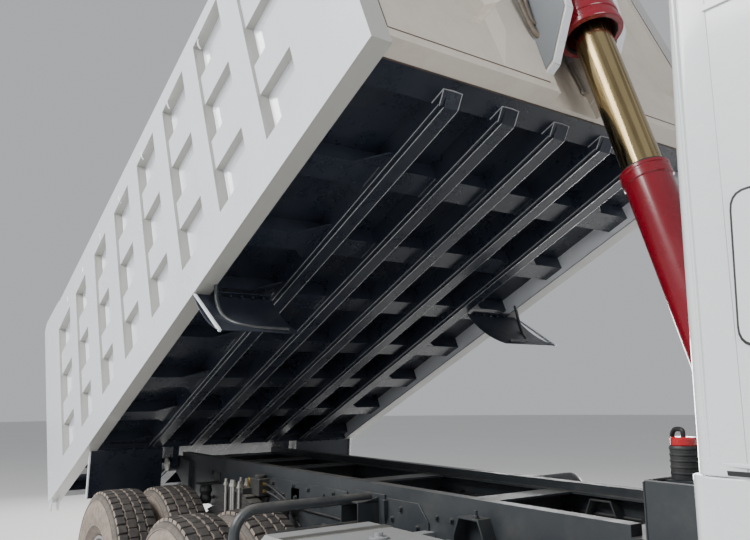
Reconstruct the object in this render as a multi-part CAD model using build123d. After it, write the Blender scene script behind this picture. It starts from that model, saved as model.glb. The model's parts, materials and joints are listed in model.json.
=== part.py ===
"""A three-axle dump truck with its bed raised, in millimetres: +X forward, +Y to its left, +Z up.

Chassis pieces are laid out from the rearmost axle (x = 0) and the ground (z = 0). Bed pieces are
laid out in the bed's own frame: u along the floor from its rear end, n up from the floor beams'
undersides. Hoist pieces are laid out along the hoist's axis from its foot pin. At the end the whole
truck is slid along X so that its middle stands over the origin.
"""
from build123d import *
import os
from math import asin, atan2, cos, degrees, hypot, pi, sin, sqrt

# Clearances
MOVING_GAP = 6
TUBE_GAP = 0.5
PIN_GAP = 0.3
SEAT_GAP = 0.3
BAR_SIDES = 12
BORE_SIDES = 16

# Lengths that the bed, the cab, the axles and the hoist's foot box are placed by
BED_FRONT_U = 5390
FRONT_AXLE_X = BED_FRONT_U - 240

# Wheels
TYRE_OD = 1120
TYRE_WIDTH = 315
TREAD_WIDTH = 236
BEAD_R = 262
BEAD_WIDTH = 208
TWIN_GAP = 35
TYRE_SIDES = 20
RIM_WALL = 12
RIM_LIP = 10
DISC_WALL = 14
DRUM_LENGTH = 95
HUB_R = 95
HUB_FLANGE_R = 170
DRUM_R = 205
SPINDLE_R = 50
ARCH_CLEARANCE = 130
ARCH_SIDES = 24

# Axles
BOGIE_SPREAD = 1350
FRONT_TYRE_Y = 1010
KINGPIN_Y = 830
KINGPIN_R = 24
AXLE_TUBE_R = 75
DIFFERENTIAL_R = 215
DIFFERENTIAL_WIDTH = 200
INPUT_REACH = 330
OUTPUT_REACH = 250
INPUT_RISE = 80
INPUT_R = 80
OUTPUT_R = 60

# Balanced rear springs: leaf thickness, longest half length, shortest half length
REAR_LEAVES = 9
REAR_SPRING = (24, 700, 180)
REAR_SPRING_WIDTH = 84
REAR_SPRING_DROP = 150
REAR_SPRING_RISE = 130
TRUNNION_Z = 790
TRUNNION_R_OUTER = 95

# Front springs: leaf thickness, longest half length, shortest half length
FRONT_LEAVES = 5
FRONT_SPRING = (16, 800, 420)
FRONT_SPRING_WIDTH = 84
BEAM_DROP = 95
BEAM_HALF_DEPTH = 60
BEAM_EYE_HEIGHT = 110
BEAM_EYE_R = 36

# Frame
FRAME_TOP = 1260
FRAME_WIDTH = 850
REAR_SPRING_Y = FRAME_WIDTH / 2 + 90
FRONT_SPRING_Y = FRAME_WIDTH / 2
TWIN_MIDDLE_Y = REAR_SPRING_Y + 400
RAIL_DEPTH = 300
RAIL_FLANGE = 90
RAIL_WALL = 10
RAIL_REAR_X = -640
RAIL_FRONT_X = FRONT_AXLE_X + 1190
STRIP_WIDTH = 60
STRIP_HEIGHT = 40
STRIP_FRONT_X = BED_FRONT_U - 1790
CROSSMEMBER_WIDTH = 150
REAR_MEMBER_X = -560

# Engine and gearbox as blocks
ENGINE_X = (FRONT_AXLE_X - 290, FRONT_AXLE_X + 870)
ENGINE_HALF_WIDTH = 300
ENGINE_Z = (860, 1560)
MOUNT_WIDTH = 90
MOUNT_Z = (1000, 1060)
GEARBOX_LENGTH = 710
GEARBOX_HALF_WIDTH = 190
GEARBOX_Z = (900, 1240)
SHAFT_R = 55
SHAFT_Z = 985
LINK_R = 45

# Guard tubes
GUARD_X = 2060
GUARD_R = 25
GUARD_SIDES = 8
GUARD_BEND = 60
GUARD_END_DROP = 420

# Tow bores
TOW_HALF_WIDTH = 60
TOW_PLATE = 40
TOW_FRONT_Z = 710
TOW_REAR_Z = 1000
TOW_REAR_X = -740
TOW_BORE_R = 20

# Tanks and battery box
TANK_X = (2300, 3500)
TANK_Y = (560, 1180)
TANK_Z = (600, 1160)
TANK_CORNER = 45
TANK_BRACKETS_X = (2500, 3250)
BATTERY_X = (2400, 3050)
BATTERY_Y = (620, 1180)
BATTERY_Z = (650, 1140)
BATTERY_BRACKETS_X = (2470, 2900)
BRACKET_WIDTH = 60
BRACKET_Z = (960, 1130)
AIR_TANK_X = (3150, 3950)
AIR_TANK_Y = (640, 930)
AIR_TANK_Z = 850
AIR_TANK_R = 125
AIR_CARRIERS_X = (3250, 3800)

# Bed
BED_TILT = 23.5
BED_HALF_WIDTH = 1200
BED_REAR_U = -30
SIDE_FRONT_HEIGHT = 1430
SIDE_REAR_HEIGHT = 1653
REAR_POST_HEIGHT = 1716
REAR_POST_U = 530
SIDE_WALL = 85
SILL_WIDTH = 95
BEAM_DEPTH = 120
BEAM_WIDTH = 102
BEAM_EDGE = 25
BEAM_STEP = 9
BEAM_NOSE = 57
BEAM_SPACING = 335
FLOOR_PLATE = 10
CROSSBEAM_WIDTH = 150
CROSSBEAM_DEPTH = 80
CROSSBEAM_FIRST_U = 1
CROSSBEAM_COUNT = 9
CROSSBEAM_PITCH = (BED_FRONT_U - 255) / CROSSBEAM_COUNT
FRONT_BEAM_WIDTH = 143
FRONT_BOTTOM_N = 47
FRONT_SETBACK = 5
FRONT_WALL = 75
FRONT_SHEET = 27
HINGE_U = 1100
HINGE_N = -95
HINGE_X = -680
HINGE_DROP = 50
HINGE_PIN_R = 30
HINGE_EYE_R = 62
HINGE_LUG_Y = FRAME_WIDTH / 2 + 45
HINGE_LUG_WIDTH = 50

# Pressed pockets of the bed sides
BAND_SETBACK = 18
POCKET_STEEP = 37
POCKET_STEEP_INSET = 10
POCKET_DEPTH = 52
POCKET_INSET = 55

# Pocket columns, as shares of the bed's length: rear edge, front edge
POCKET_COLUMNS = [
    (0.1011, 0.1790),
    (0.2190, 0.2785),
    (0.3312, 0.3900),
    (0.4358, 0.5002),
    (0.5400, 0.6050),
    (0.6406, 0.7087),
    (0.7440, 0.8117),
    (0.8480, 0.9102),
]

# Pocket rows, as shares of the side's front height: lower edge, upper edge
POCKET_ROWS = [(0.144, 0.341), (0.472, 0.661), (0.804, 0.972)]

# Sunken panels and raised fields of the front wall
PANEL_LOW_N = 343
PANEL_CORNER_Y = 529
PANEL_INNER_Y = 302
PANEL_INNER_N = 592
PANEL_EDGE = 65
PANEL_TOP_EDGE = 100
PANEL_DEPTH = 55
PANEL_INSET = 45
FIELD_RISE = 22
FIELD_FOOT_N = 100
FIELD_FULL_N = 337
FIELD_FOOT_Y = 483
FIELD_FOLD_Y = 395

# Plates that hang from the bed: upper u, upper n, lower u, lower n, inner y, outer y
BED_PLATES = {
    "mudguard": (3550, 0, 3790, -345, 740, BED_HALF_WIDTH),
    "flap": (1215, 0, 1050, -307, 600, BED_HALF_WIDTH - 50),
}
PLATE_WALL = 6

# Tailgate
TAILGATE_PIN_N = 1645
TAILGATE_PIN_R = 20
TAILGATE_TOP_N = 1600
TAILGATE_SHEET = 24
TAILGATE_RIB = 36

# Hoist
FOOT_HEIGHT = 100
TRUNNION_U = BED_FRONT_U + 200
TRUNNION_N = 650
BASE_R = 98
BASE_FOOT = 78
BASE_TOP = 1345
STAGE_1_R = 84
STAGE_1_LENGTH = 1460
STAGE_1_START = 680
STAGE_2_R = 74
STAGE_2_LENGTH = 1450
STAGE_2_START = 1290
COVER_R = 140
COVER_BORE_R = 120
COVER_BELOW = 360
COVER_ABOVE = 1050
FOOT_PIN_R = 35
TRUNNION_R = 36
TUBE_END = 25
CHEEK_Y = 165
CHEEK_WALL = 40
FOOT_LUG_Y = 85
FOOT_LUG_WALL = 30

# Foot box of the hoist
BOX_REAR_X = BED_FRONT_U - 1710
BOX_FRONT_X = BOX_REAR_X + 620
BOX_HALF_WIDTH = FRAME_WIDTH / 2 + 25
BOX_HEIGHT = 190
BOX_WALL = 10

# Cab
CAB_REAR_X = FRONT_AXLE_X - 770
CAB_FRONT_X = FRONT_AXLE_X + 1350
CAB_HALF_WIDTH = 1240
CAB_WALL = 60
CAB_BOTTOM = 1150
CAB_SKIRT_Y = CAB_HALF_WIDTH - 260
CAB_FLOOR_TOP = 1400
CAB_ROOF = 2960
SILL_Z = 1290
WINDOW_SILL_Z = 1960
DOOR_REAR_X = CAB_FRONT_X - 1170
DOOR_FRONT_X = CAB_FRONT_X - 220
DOOR_TOP_Z = 2740
DOOR_GLASS = 6
DOOR_HINGE_Z = (1480, 1880)
DOOR_HINGE_R = 12
DOOR_HINGE_PIN_R = 6
DOOR_HINGE_LENGTH = 70
CAB_HINGE_X = CAB_FRONT_X - 80
CAB_HINGE_Z = 1000
CAB_HINGE_R = 25
CAB_ARM_Y = FRAME_WIDTH / 2 + 95
CAB_ARM_WALL = 80
TUNNEL_HALF_WIDTH = 460
TUNNEL_TOP = 1660
TUNNEL_X = (FRONT_AXLE_X - 430, CAB_FRONT_X - 380)

# Seats, dashboard and steering wheel
SEAT_Y = 720
SEAT_HALF_WIDTH = 240
SEAT_X = (DOOR_REAR_X, DOOR_REAR_X + 470)
SEAT_HEIGHT = 420
SEAT_BACK_HEIGHT = 1080
SEAT_BACK_LEAN = 60
SEAT_BACK_WALL = 130
STEERING_X = CAB_FRONT_X - 490
STEERING_RISE = 560
STEERING_LEAN = 35

# Mirrors
MIRROR_X = (CAB_FRONT_X - 205, CAB_FRONT_X - 150)
MIRROR_REACH = (90, 280)
MIRROR_Z = (1990, 2440)

# Bumper and steps
BUMPER_REACH = 150
BUMPER_BEND = 60
BUMPER_WALL = 60
BUMPER_LENGTH = 210
BUMPER_Z = (560, 930)
STEP_X = (CAB_FRONT_X - 620, CAB_FRONT_X - 60)
STEP_WIDTH = 235
STEP_WALL = 30
STEP_LEVELS = (460, 760)


def block(x0, x1, y0, y1, z0, z1):
    """A rectangular solid between two opposite corners."""
    middle = Pos((x0 + x1) / 2, (y0 + y1) / 2, (z0 + z1) / 2)
    return middle * Box(x1 - x0, y1 - y0, z1 - z0)


def side_plate(points, y0, y1):
    """An outline of (x, z) points, as thick as from y0 to y1."""
    face = make_face(Polyline(*[(x, y0, z) for x, z in points], close=True))
    return extrude(face, amount=y1 - y0, dir=(0, 1, 0))


def cross_plate(points, x0, x1):
    """An outline of (y, z) points, as thick as from x0 to x1."""
    face = make_face(Polyline(*[(x0, y, z) for y, z in points], close=True))
    return extrude(face, amount=x1 - x0, dir=(1, 0, 0))


def bar(start, end, radius):
    """A round bar between two points."""
    start, end = Vector(*start), Vector(*end)
    along = end - start
    base = Plane(origin=start, z_dir=along)
    return base * Cylinder(radius, along.length, align=(Align.CENTER, Align.CENTER, Align.MIN))


def pin_along_y(x, z, y0, y1, radius):
    """A round pin across the truck."""
    return bar((x, y0, z), (x, y1, z), radius)


def flat_bar(start, end, radius, sides=BAR_SIDES):
    """A flat-sided bar or bore between two points, its radius to the middle of a flat."""
    start, end = Vector(*start), Vector(*end)
    base = Plane(origin=start, z_dir=end - start)
    outline = base * RegularPolygon(radius, sides, major_radius=False)
    return extrude(outline, amount=(end - start).length)


def mitred_bar(points, radius, sides):
    """A flat-sided bar along straight runs in a plane square to the X axis, mitred where they meet."""
    path = [Vector(*point) for point in points]
    runs = [(after - before).normalized() for before, after in zip(path, path[1:])]
    across = Vector(1, 0, 0)
    rings = []
    for point, into, out in zip(path, runs[:1] + runs, runs + runs[-1:]):
        along = (into + out).normalized()
        upright = along.cross(across) * (1 / along.dot(out))
        angles = [2 * pi * (k + 0.5) / sides for k in range(sides)]
        rings.append([point + across * (radius * cos(a)) + upright * (radius * sin(a)) for a in angles])
    return ringed_solid(rings)


def mirrored(shape):
    """The same piece on the other side of the truck."""
    return shape.mirror(Plane.XZ)


def both_sides(shapes):
    """Left-hand pieces and their mirror images."""
    return list(shapes) + [mirrored(shape) for shape in shapes]


def flat_rings(outline, sides):
    """The corners of rings about the Y axis for a (radius, y) outline, each radius to a flat's middle."""
    angles = [2 * pi * (k + 0.5) / sides for k in range(sides)]
    corner = 1 / cos(pi / sides)
    return [[Vector(corner * r * cos(a), y, corner * r * sin(a)) for a in angles] for r, y in outline]


def flat_bands(rings):
    """Flat faces between each ring of corners and the next."""
    faces = []
    for ring, next_ring in zip(rings, rings[1:]):
        for k in range(len(ring)):
            after = (k + 1) % len(ring)
            corners = [ring[k], ring[after], next_ring[after], next_ring[k]]
            faces.append(Face(Wire.make_polygon(corners)))
    return faces


def flat_sided_ring(outline, sides):
    """A closed (radius, y) outline carried round the Y axis in flats."""
    rings = flat_rings(outline, sides)
    return Solid(Shell(flat_bands(rings + rings[:1])))


def ringed_solid(rings):
    """A solid whose corners lie on rings of as many corners each, closed by its first and last ring."""
    ends = [Face(Wire.make_polygon(ring)) for ring in (rings[0], rings[-1])]
    return Solid(Shell(flat_bands(rings) + ends))


def flat_sided_bar(outline, sides):
    """An open (radius, y) outline carried round the Y axis in flats, with flat ends."""
    return ringed_solid(flat_rings(outline, sides))


def flat_faced_solid(points, faces):
    """A solid from corner points by name and the corners round each of its flat faces."""
    outlines = [[Vector(*points[name]) for name in face] for face in faces]
    return Solid(Shell([Face(Wire.make_polygon(outline)) for outline in outlines]))


def inset_outline(points, inset):
    """A counter-clockwise outline moved inwards by the same distance all round."""
    moved = []
    for k, (a, b) in enumerate(points):
        before, after = points[k - 1], points[(k + 1) % len(points)]
        into = Vector(a - before[0], b - before[1]).normalized()
        out = Vector(after[0] - a, after[1] - b).normalized()
        share = inset / (1 + into.dot(out))
        moved.append((a - (into.Y + out.Y) * share, b + (into.X + out.X) * share))
    return moved


def bed_place(tilt):
    """Where the bed's own frame stands at a given tilt."""
    hinge = Pos(HINGE_X, 0, FRAME_TOP - HINGE_DROP)
    return hinge * Rot(0, -tilt, 0) * Pos(-HINGE_U, 0, -HINGE_N)


def hoist_lean():
    """The hoist's backward lean from upright at rest, in degrees.

    The foot pin lies as far from the bed's hinge as the bed's trunnion does, so the hoist's axis
    always stands square to the line that halves the angle between them.
    """
    radius = hoist_radius()
    foot_angle = degrees(asin((FOOT_HEIGHT + HINGE_DROP) / radius))
    trunnion_angle = degrees(atan2(TRUNNION_N - HINGE_N, TRUNNION_U - HINGE_U)) + BED_TILT
    return (foot_angle + trunnion_angle) / 2


def hoist_radius():
    """The distance from the bed's hinge to the hoist's two pins."""
    return hypot(TRUNNION_U - HINGE_U, TRUNNION_N - HINGE_N)


def hoist_foot():
    """The foot pin's x and z."""
    rise = FOOT_HEIGHT + HINGE_DROP
    return HINGE_X + sqrt(hoist_radius() ** 2 - rise**2), FRAME_TOP + FOOT_HEIGHT


def trunnion_point():
    """The trunnion's x and z at rest."""
    place = bed_place(BED_TILT) * Pos(TRUNNION_U, 0, TRUNNION_N)
    return place.position.X, place.position.Z


def hoist_length():
    """The distance between the hoist's two pins at rest."""
    foot, trunnion = hoist_foot(), trunnion_point()
    return hypot(trunnion[0] - foot[0], trunnion[1] - foot[1])


def hoist_place():
    """The hoist's own frame at rest: its z runs from the foot pin to the trunnion."""
    x, z = hoist_foot()
    return Pos(x, 0, z) * Rot(0, -hoist_lean(), 0)


def open_tube(outer, inner, z0, z1, floor=0):
    """A round tube about the Z axis with a flat-sided bore, closed by a floor at its lower end."""
    low = (Align.CENTER, Align.CENTER, Align.MIN)
    solid = Pos(0, 0, z0) * Cylinder(outer, z1 - z0, align=low)
    return solid - flat_bar((0, 0, z0 + floor), (0, 0, z1), inner, BORE_SIDES)


# Frame


def frame_rails():
    """Two channel rails, each with the strip that the lowered bed rests on."""
    outer = FRAME_WIDTH / 2
    inner = outer - RAIL_FLANGE
    web = outer - RAIL_WALL
    bottom = FRAME_TOP - RAIL_DEPTH
    channel = [
        (outer, bottom),
        (outer, FRAME_TOP),
        (inner, FRAME_TOP),
        (inner, FRAME_TOP - RAIL_WALL),
        (web, FRAME_TOP - RAIL_WALL),
        (web, bottom + RAIL_WALL),
        (inner, bottom + RAIL_WALL),
        (inner, bottom),
    ]
    rail = cross_plate(channel, RAIL_REAR_X, RAIL_FRONT_X)
    rail += block(
        RAIL_REAR_X, STRIP_FRONT_X, outer - STRIP_WIDTH, outer, FRAME_TOP, FRAME_TOP + STRIP_HEIGHT
    )
    return both_sides([rail])


def crossmembers():
    """Channel cross-members between the rails, and the cross tube and brackets of the bed's hinge."""
    web = FRAME_WIDTH / 2 - RAIL_WALL
    flange = FRAME_WIDTH / 2 - RAIL_FLANGE
    bottom = FRAME_TOP - RAIL_DEPTH + RAIL_WALL
    under = FRAME_TOP - RAIL_WALL
    half = CROSSMEMBER_WIDTH / 2
    pieces = []
    rear_places = (REAR_MEMBER_X, REAR_MEMBER_X + 620, BOGIE_SPREAD / 2, BOGIE_SPREAD + 300)
    for x in rear_places + (GUARD_X + 570, BOX_REAR_X - 130, RAIL_FRONT_X - 100):
        piece = block(x - half, x + half, -flange, flange, under, FRAME_TOP)
        piece += block(x - half, x - half + RAIL_WALL, -web, web, bottom, under)
        piece += block(x - half, x + half, -web, web, bottom, bottom + RAIL_WALL)
        pieces.append(piece)
    low, high = TOW_REAR_Z - TOW_PLATE / 2, TOW_REAR_Z + TOW_PLATE / 2
    tow = block(TOW_REAR_X - 50, REAR_MEMBER_X - half, -TOW_HALF_WIDTH, TOW_HALF_WIDTH, low, high)
    tow -= bar((TOW_REAR_X, 0, low - 1), (TOW_REAR_X, 0, high + 1), TOW_BORE_R)
    pieces[0] += tow
    return pieces


def rear_hinge():
    """Brackets on the rails' rear ends with the pins that the bed turns on, and the tube between them."""
    x, z = HINGE_X, FRAME_TOP - HINGE_DROP
    outer = FRAME_WIDTH / 2
    face = outer + 30
    bracket_outline = [
        (x + 260, FRAME_TOP - RAIL_DEPTH + 30),
        (x + 260, FRAME_TOP - 20),
        (x, z + HINGE_EYE_R),
        (x - HINGE_EYE_R, z),
        (x - 20, z - HINGE_EYE_R),
    ]
    bracket = side_plate(bracket_outline, outer, face)
    bracket += pin_along_y(x, z, face - 5, HINGE_LUG_Y + HINGE_LUG_WIDTH + 12, HINGE_PIN_R)
    return bracket + mirrored(bracket) + flat_bar((x, -outer - 5, z), (x, outer + 5, z), HINGE_PIN_R + 6)


def hoist_box():
    """The open-topped box on the rails that holds the hoist's foot."""
    x, z = hoist_foot()
    top = FRAME_TOP + BOX_HEIGHT
    floor = FRAME_TOP + BOX_WALL
    half = BOX_HALF_WIDTH - BOX_WALL
    box = block(BOX_REAR_X, BOX_FRONT_X, -BOX_HALF_WIDTH, BOX_HALF_WIDTH, FRAME_TOP, top)
    box -= block(BOX_REAR_X + BOX_WALL, BOX_FRONT_X - BOX_WALL, -half, half, floor, top)
    lug_end = FOOT_LUG_Y + FOOT_LUG_WALL
    outline = [(x - 90, floor), (x + 90, floor), (x + 50, z + 45), (x - 50, z + 45)]
    lug = side_plate(outline, FOOT_LUG_Y, lug_end)
    lug += flat_bar((x, lug_end, z), (x, lug_end + 12, z), FOOT_PIN_R + 8)
    box += lug + mirrored(lug)
    return box + pin_along_y(x, z, -FOOT_LUG_Y - 5, FOOT_LUG_Y + 5, FOOT_PIN_R)


def oil_can():
    """The small oil can beside the hoist."""
    x = BOX_REAR_X + 60
    top = FRAME_TOP + BOX_HEIGHT
    can = flat_bar((x, -300, top), (x, -300, top + 110), 45)
    can += block(BOX_REAR_X, x + 50, -345, -255, top - 8, top)
    return can


# Running gear


def tyre(middle_y):
    """One tyre about the Y axis, its flats as wide as its tread blocks."""
    outer, bead, widest = TYRE_OD / 2, BEAD_WIDTH / 2, TYRE_WIDTH / 2
    widest_r = (outer + BEAD_R) / 2
    half = [(BEAD_R, -bead), (widest_r, -widest), (outer, -TREAD_WIDTH / 2)]
    outline = half + [(r, -y) for r, y in reversed(half)]
    return flat_sided_ring([(r, middle_y + y) for r, y in outline], TYRE_SIDES)


def twin_rim():
    """Both rims of a twin wheel with their discs, hub and brake drum, for the left side."""
    seat, inside = BEAD_R - SEAT_GAP, BEAD_R - RIM_WALL
    half = BEAD_WIDTH / 2
    flange = RIM_LIP + 4
    spacing = (TYRE_WIDTH + TWIN_GAP) / 2
    far, near = TWIN_MIDDLE_Y + spacing, TWIN_MIDDLE_Y - spacing
    bore = SPINDLE_R + PIN_GAP + 0.5
    disc = TWIN_MIDDLE_Y + DISC_WALL
    outline = [
        (BEAD_R + RIM_LIP, far + half + flange),
        (seat, far + half),
        (seat, near - half - flange),
        (inside, near),
        (DRUM_R, near - DRUM_LENGTH - 50),
        (bore, near - DRUM_LENGTH - 50),
        (bore, far - 10),
        (HUB_R, far - 10),
        (HUB_FLANGE_R, disc),
        (inside, disc + 45),
        (inside, far + half + flange),
    ]
    return flat_sided_ring(outline, TYRE_SIDES)


def front_rim():
    """A front rim with its disc, hub and brake drum, for the left side."""
    seat, inside = BEAD_R - SEAT_GAP, BEAD_R - RIM_WALL
    half = BEAD_WIDTH / 2
    flange = RIM_LIP + 4
    middle = FRONT_TYRE_Y
    bore = SPINDLE_R + PIN_GAP + 0.5
    hub_end = middle + half + 50
    outline = [
        (BEAD_R + RIM_LIP, middle + half + flange),
        (seat, middle + half),
        (seat, middle - half - flange),
        (inside, middle),
        (DRUM_R, middle - DRUM_LENGTH),
        (bore, middle - DRUM_LENGTH),
        (bore, hub_end),
        (HUB_R, hub_end),
        (HUB_FLANGE_R, middle + half + 10),
        (inside, middle + 45),
        (inside, middle + half + flange),
    ]
    return flat_sided_ring(outline, TYRE_SIDES)


def wheel_sites():
    """Each wheel's name, x, side (+1 left) and whether it is a twin."""
    return [
        ("front_left", FRONT_AXLE_X, 1, False),
        ("front_right", FRONT_AXLE_X, -1, False),
        ("mid_left", BOGIE_SPREAD, 1, True),
        ("mid_right", BOGIE_SPREAD, -1, True),
        ("rear_left", 0, 1, True),
        ("rear_right", 0, -1, True),
    ]


def wheel_nodes():
    """Tyres and rims of every wheel, by node name."""
    spacing = (TYRE_WIDTH + TWIN_GAP) / 2
    twin_tyres = [tyre(TWIN_MIDDLE_Y + spacing), tyre(TWIN_MIDDLE_Y - spacing)]
    shapes = {True: (twin_tyres, [twin_rim()]), False: ([tyre(FRONT_TYRE_Y)], [front_rim()])}
    nodes = {}
    for name, x, side, twin in wheel_sites():
        tyres, rims = shapes[twin]
        place = Pos(x, 0, TYRE_OD / 2)
        turn = (lambda shape: shape) if side > 0 else mirrored
        nodes[f"tyre_{name}"] = [place * turn(shape) for shape in tyres]
        nodes[f"rim_{name}"] = [place * turn(shape) for shape in rims]
    return nodes


def drive_axles():
    """Two driven axles: housing tubes, differential bowl and spindles."""
    z = TYRE_OD / 2
    spacing = (TYRE_WIDTH + TWIN_GAP) / 2
    tube_end = TWIN_MIDDLE_Y - spacing - DRUM_LENGTH - 50 - MOVING_GAP
    spindle_end = TWIN_MIDDLE_Y + spacing - 30
    bowl = DIFFERENTIAL_WIDTH / 2
    half = [(DIFFERENTIAL_R, bowl), (AXLE_TUBE_R, bowl + 160), (AXLE_TUBE_R, tube_end)]
    outline = [(r, -y) for r, y in reversed(half)] + half
    pad_half = REAR_SPRING_WIDTH / 2
    axles = []
    for x in (0, BOGIE_SPREAD):
        axle = Pos(x, 0, z) * flat_sided_bar(outline, BAR_SIDES)
        axle += flat_bar((x, 0, z + INPUT_RISE), (x + INPUT_REACH, 0, z + INPUT_RISE), INPUT_R)
        if x > 0:
            axle += flat_bar((x - OUTPUT_REACH, 0, z + INPUT_RISE), (x, 0, z + INPUT_RISE), OUTPUT_R)
        for side in (-1, 1):
            axle += pin_along_y(x, z, side * (tube_end - 5), side * spindle_end, SPINDLE_R)
            inner, outer = sorted((side * (REAR_SPRING_Y - pad_half), side * (REAR_SPRING_Y + pad_half)))
            axle += block(x - 60, x + 60, inner, outer, z, spring_tip_z() - SEAT_GAP)
        axles.append(axle)
    return axles


def spring_tip_z():
    """The underside of the rear springs' tips."""
    return TRUNNION_Z + REAR_SPRING_RISE - REAR_SPRING_DROP


def leaf_points(x, z, radius, half_length, runs):
    """Points along one face of a leaf bent downwards, from its rear end, its middle at (x, z)."""
    reach = asin(half_length / radius)
    angles = [reach * (2 * k / runs - 1) for k in range(runs + 1)]
    return [(x + radius * sin(a), z - radius + radius * cos(a)) for a in angles]


def rear_springs():
    """Inverted leaf packs clamped on the trunnion hubs between the drive axles."""
    thickness, longest, shortest = REAR_SPRING
    x = BOGIE_SPREAD / 2
    bottom = TRUNNION_Z + REAR_SPRING_RISE
    inner, outer = REAR_SPRING_Y - REAR_SPRING_WIDTH / 2, REAR_SPRING_Y + REAR_SPRING_WIDTH / 2
    radius = (longest**2 + REAR_SPRING_DROP**2) / (2 * REAR_SPRING_DROP)
    steps = []
    for k in range(REAR_LEAVES):
        length = longest + (shortest - longest) * k / (REAR_LEAVES - 1)
        for face in (k, k + 1):
            level = bottom + face * thickness
            steps.append(leaf_points(x, level, radius + face * thickness, length, 1))
    front = [ends[1] for ends in steps]
    rear = [ends[0] for ends in reversed(steps)]
    underside = leaf_points(x, bottom, radius, longest, 8)
    top = bottom + REAR_LEAVES * thickness
    crown = leaf_points(x, top, radius + REAR_LEAVES * thickness, shortest, 2)
    outline = underside[:-1] + front + crown[1:2] + rear[:-1]
    pack = side_plate(outline, inner, outer)
    pack += block(x - 150, x + 150, inner - 8, outer, top - 5, top + 30)
    pack += block(x - 130, x + 130, inner - 8, outer, bottom - 60, bottom)
    hub = flat_sided_bar([(TRUNNION_R_OUTER, inner - 20), (TRUNNION_R_OUTER, outer + 25)], BAR_SIDES)
    pack += Pos(x, 0, TRUNNION_Z) * hub
    hanger_top, hanger_low = FRAME_TOP - 150, TRUNNION_Z - 90
    hanger = [(x - 260, hanger_top), (x + 260, hanger_top), (x + 100, hanger_low), (x - 100, hanger_low)]
    pack += side_plate(hanger, FRAME_WIDTH / 2, inner - 20)
    return both_sides([pack])


def front_axle():
    """The forged front axle beam with its springs and kingpins."""
    z = TYRE_OD / 2
    x = FRONT_AXLE_X
    half = BEAM_EYE_HEIGHT / 2
    eye_side = KINGPIN_Y - 12
    top, bottom = z - BEAM_DROP + BEAM_HALF_DEPTH, z - BEAM_DROP - BEAM_HALF_DEPTH
    right_half = [
        (600, top), (KINGPIN_Y - 60, z + half), (eye_side, z + half),
        (eye_side, z - half), (KINGPIN_Y - 80, z - half), (580, bottom),
    ]
    left_half = [(-y, level) for y, level in reversed(right_half)]
    beam = cross_plate(right_half + left_half, x - 45, x + 45)
    for side in (-1, 1):
        y = side * KINGPIN_Y
        beam += flat_bar((x, y, z - half), (x, y, z + half), BEAM_EYE_R)
        beam += bar((x, y, z - 118), (x, y, z + 118), KINGPIN_R)
    return beam


def front_springs():
    """Front leaf packs on the axle beam, hung from brackets on the rails."""
    thickness, longest, shortest = FRONT_SPRING
    x = FRONT_AXLE_X
    bottom = TYRE_OD / 2 - BEAM_DROP + BEAM_HALF_DEPTH
    top = bottom + FRONT_LEAVES * thickness
    inner, outer = FRONT_SPRING_Y - FRONT_SPRING_WIDTH / 2, FRONT_SPRING_Y + FRONT_SPRING_WIDTH / 2
    pack = None
    for k in range(FRONT_LEAVES):
        length = shortest + (longest - shortest) * k / (FRONT_LEAVES - 1)
        low = bottom + k * thickness
        leaf = block(x - length, x + length, inner, outer, low, low + thickness)
        pack = leaf if pack is None else pack + leaf
    for end in (-1, 1):
        hanger_x = x + end * (longest - 40)
        pack += block(hanger_x - 40, hanger_x + 40, inner, outer, top, FRAME_TOP - RAIL_DEPTH)
    return both_sides([pack])


def knuckle():
    """The left steering knuckle: forks round the beam's end, spindle and steering arm."""
    x, z = FRONT_AXLE_X, TYRE_OD / 2
    body = block(x - 60, x + 60, KINGPIN_Y - 45, KINGPIN_Y + 60, z - 110, z + 110)
    web_y = KINGPIN_Y + BEAM_EYE_R / cos(pi / BAR_SIDES) + MOVING_GAP
    fork = BEAM_EYE_HEIGHT / 2 + MOVING_GAP
    body -= block(x - 61, x + 61, KINGPIN_Y - 46, web_y, z - fork, z + fork)
    body -= flat_bar((x, KINGPIN_Y, z - 120), (x, KINGPIN_Y, z + 120), KINGPIN_R + PIN_GAP)
    end = FRONT_TYRE_Y + BEAD_WIDTH / 2 + 30
    body += pin_along_y(x, z, KINGPIN_Y + 55, end, SPINDLE_R)
    body += block(x - 300, x - 50, KINGPIN_Y - 40, KINGPIN_Y - 10, z - 105, z - 70)
    return body


def engine_and_driveline():
    """The engine and gearbox as plain blocks, and the propeller shafts to the drive axles."""
    input_z = TYRE_OD / 2 + INPUT_RISE
    rear, front = ENGINE_X
    gearbox_x = rear - GEARBOX_LENGTH
    engine = block(rear, front, -ENGINE_HALF_WIDTH, ENGINE_HALF_WIDTH, *ENGINE_Z)
    web = FRAME_WIDTH / 2 - RAIL_WALL
    for x in (rear + 140, front - 170):
        engine += block(x, x + MOUNT_WIDTH, -web, web, *MOUNT_Z)
    engine += block(gearbox_x, rear, -GEARBOX_HALF_WIDTH, GEARBOX_HALF_WIDTH, *GEARBOX_Z)
    lean = atan2(SHAFT_Z - input_z, gearbox_x - BOGIE_SPREAD - INPUT_REACH)
    start_x = BOGIE_SPREAD + INPUT_REACH + SHAFT_R / cos(pi / BAR_SIDES) * sin(lean) + SEAT_GAP
    engine += flat_bar((start_x, 0, input_z), (gearbox_x, 0, SHAFT_Z), SHAFT_R)
    link_start, link_end = INPUT_REACH + SEAT_GAP, BOGIE_SPREAD - OUTPUT_REACH - SEAT_GAP
    return [engine, flat_bar((link_start, 0, input_z), (link_end, 0, input_z), LINK_R)]


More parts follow.
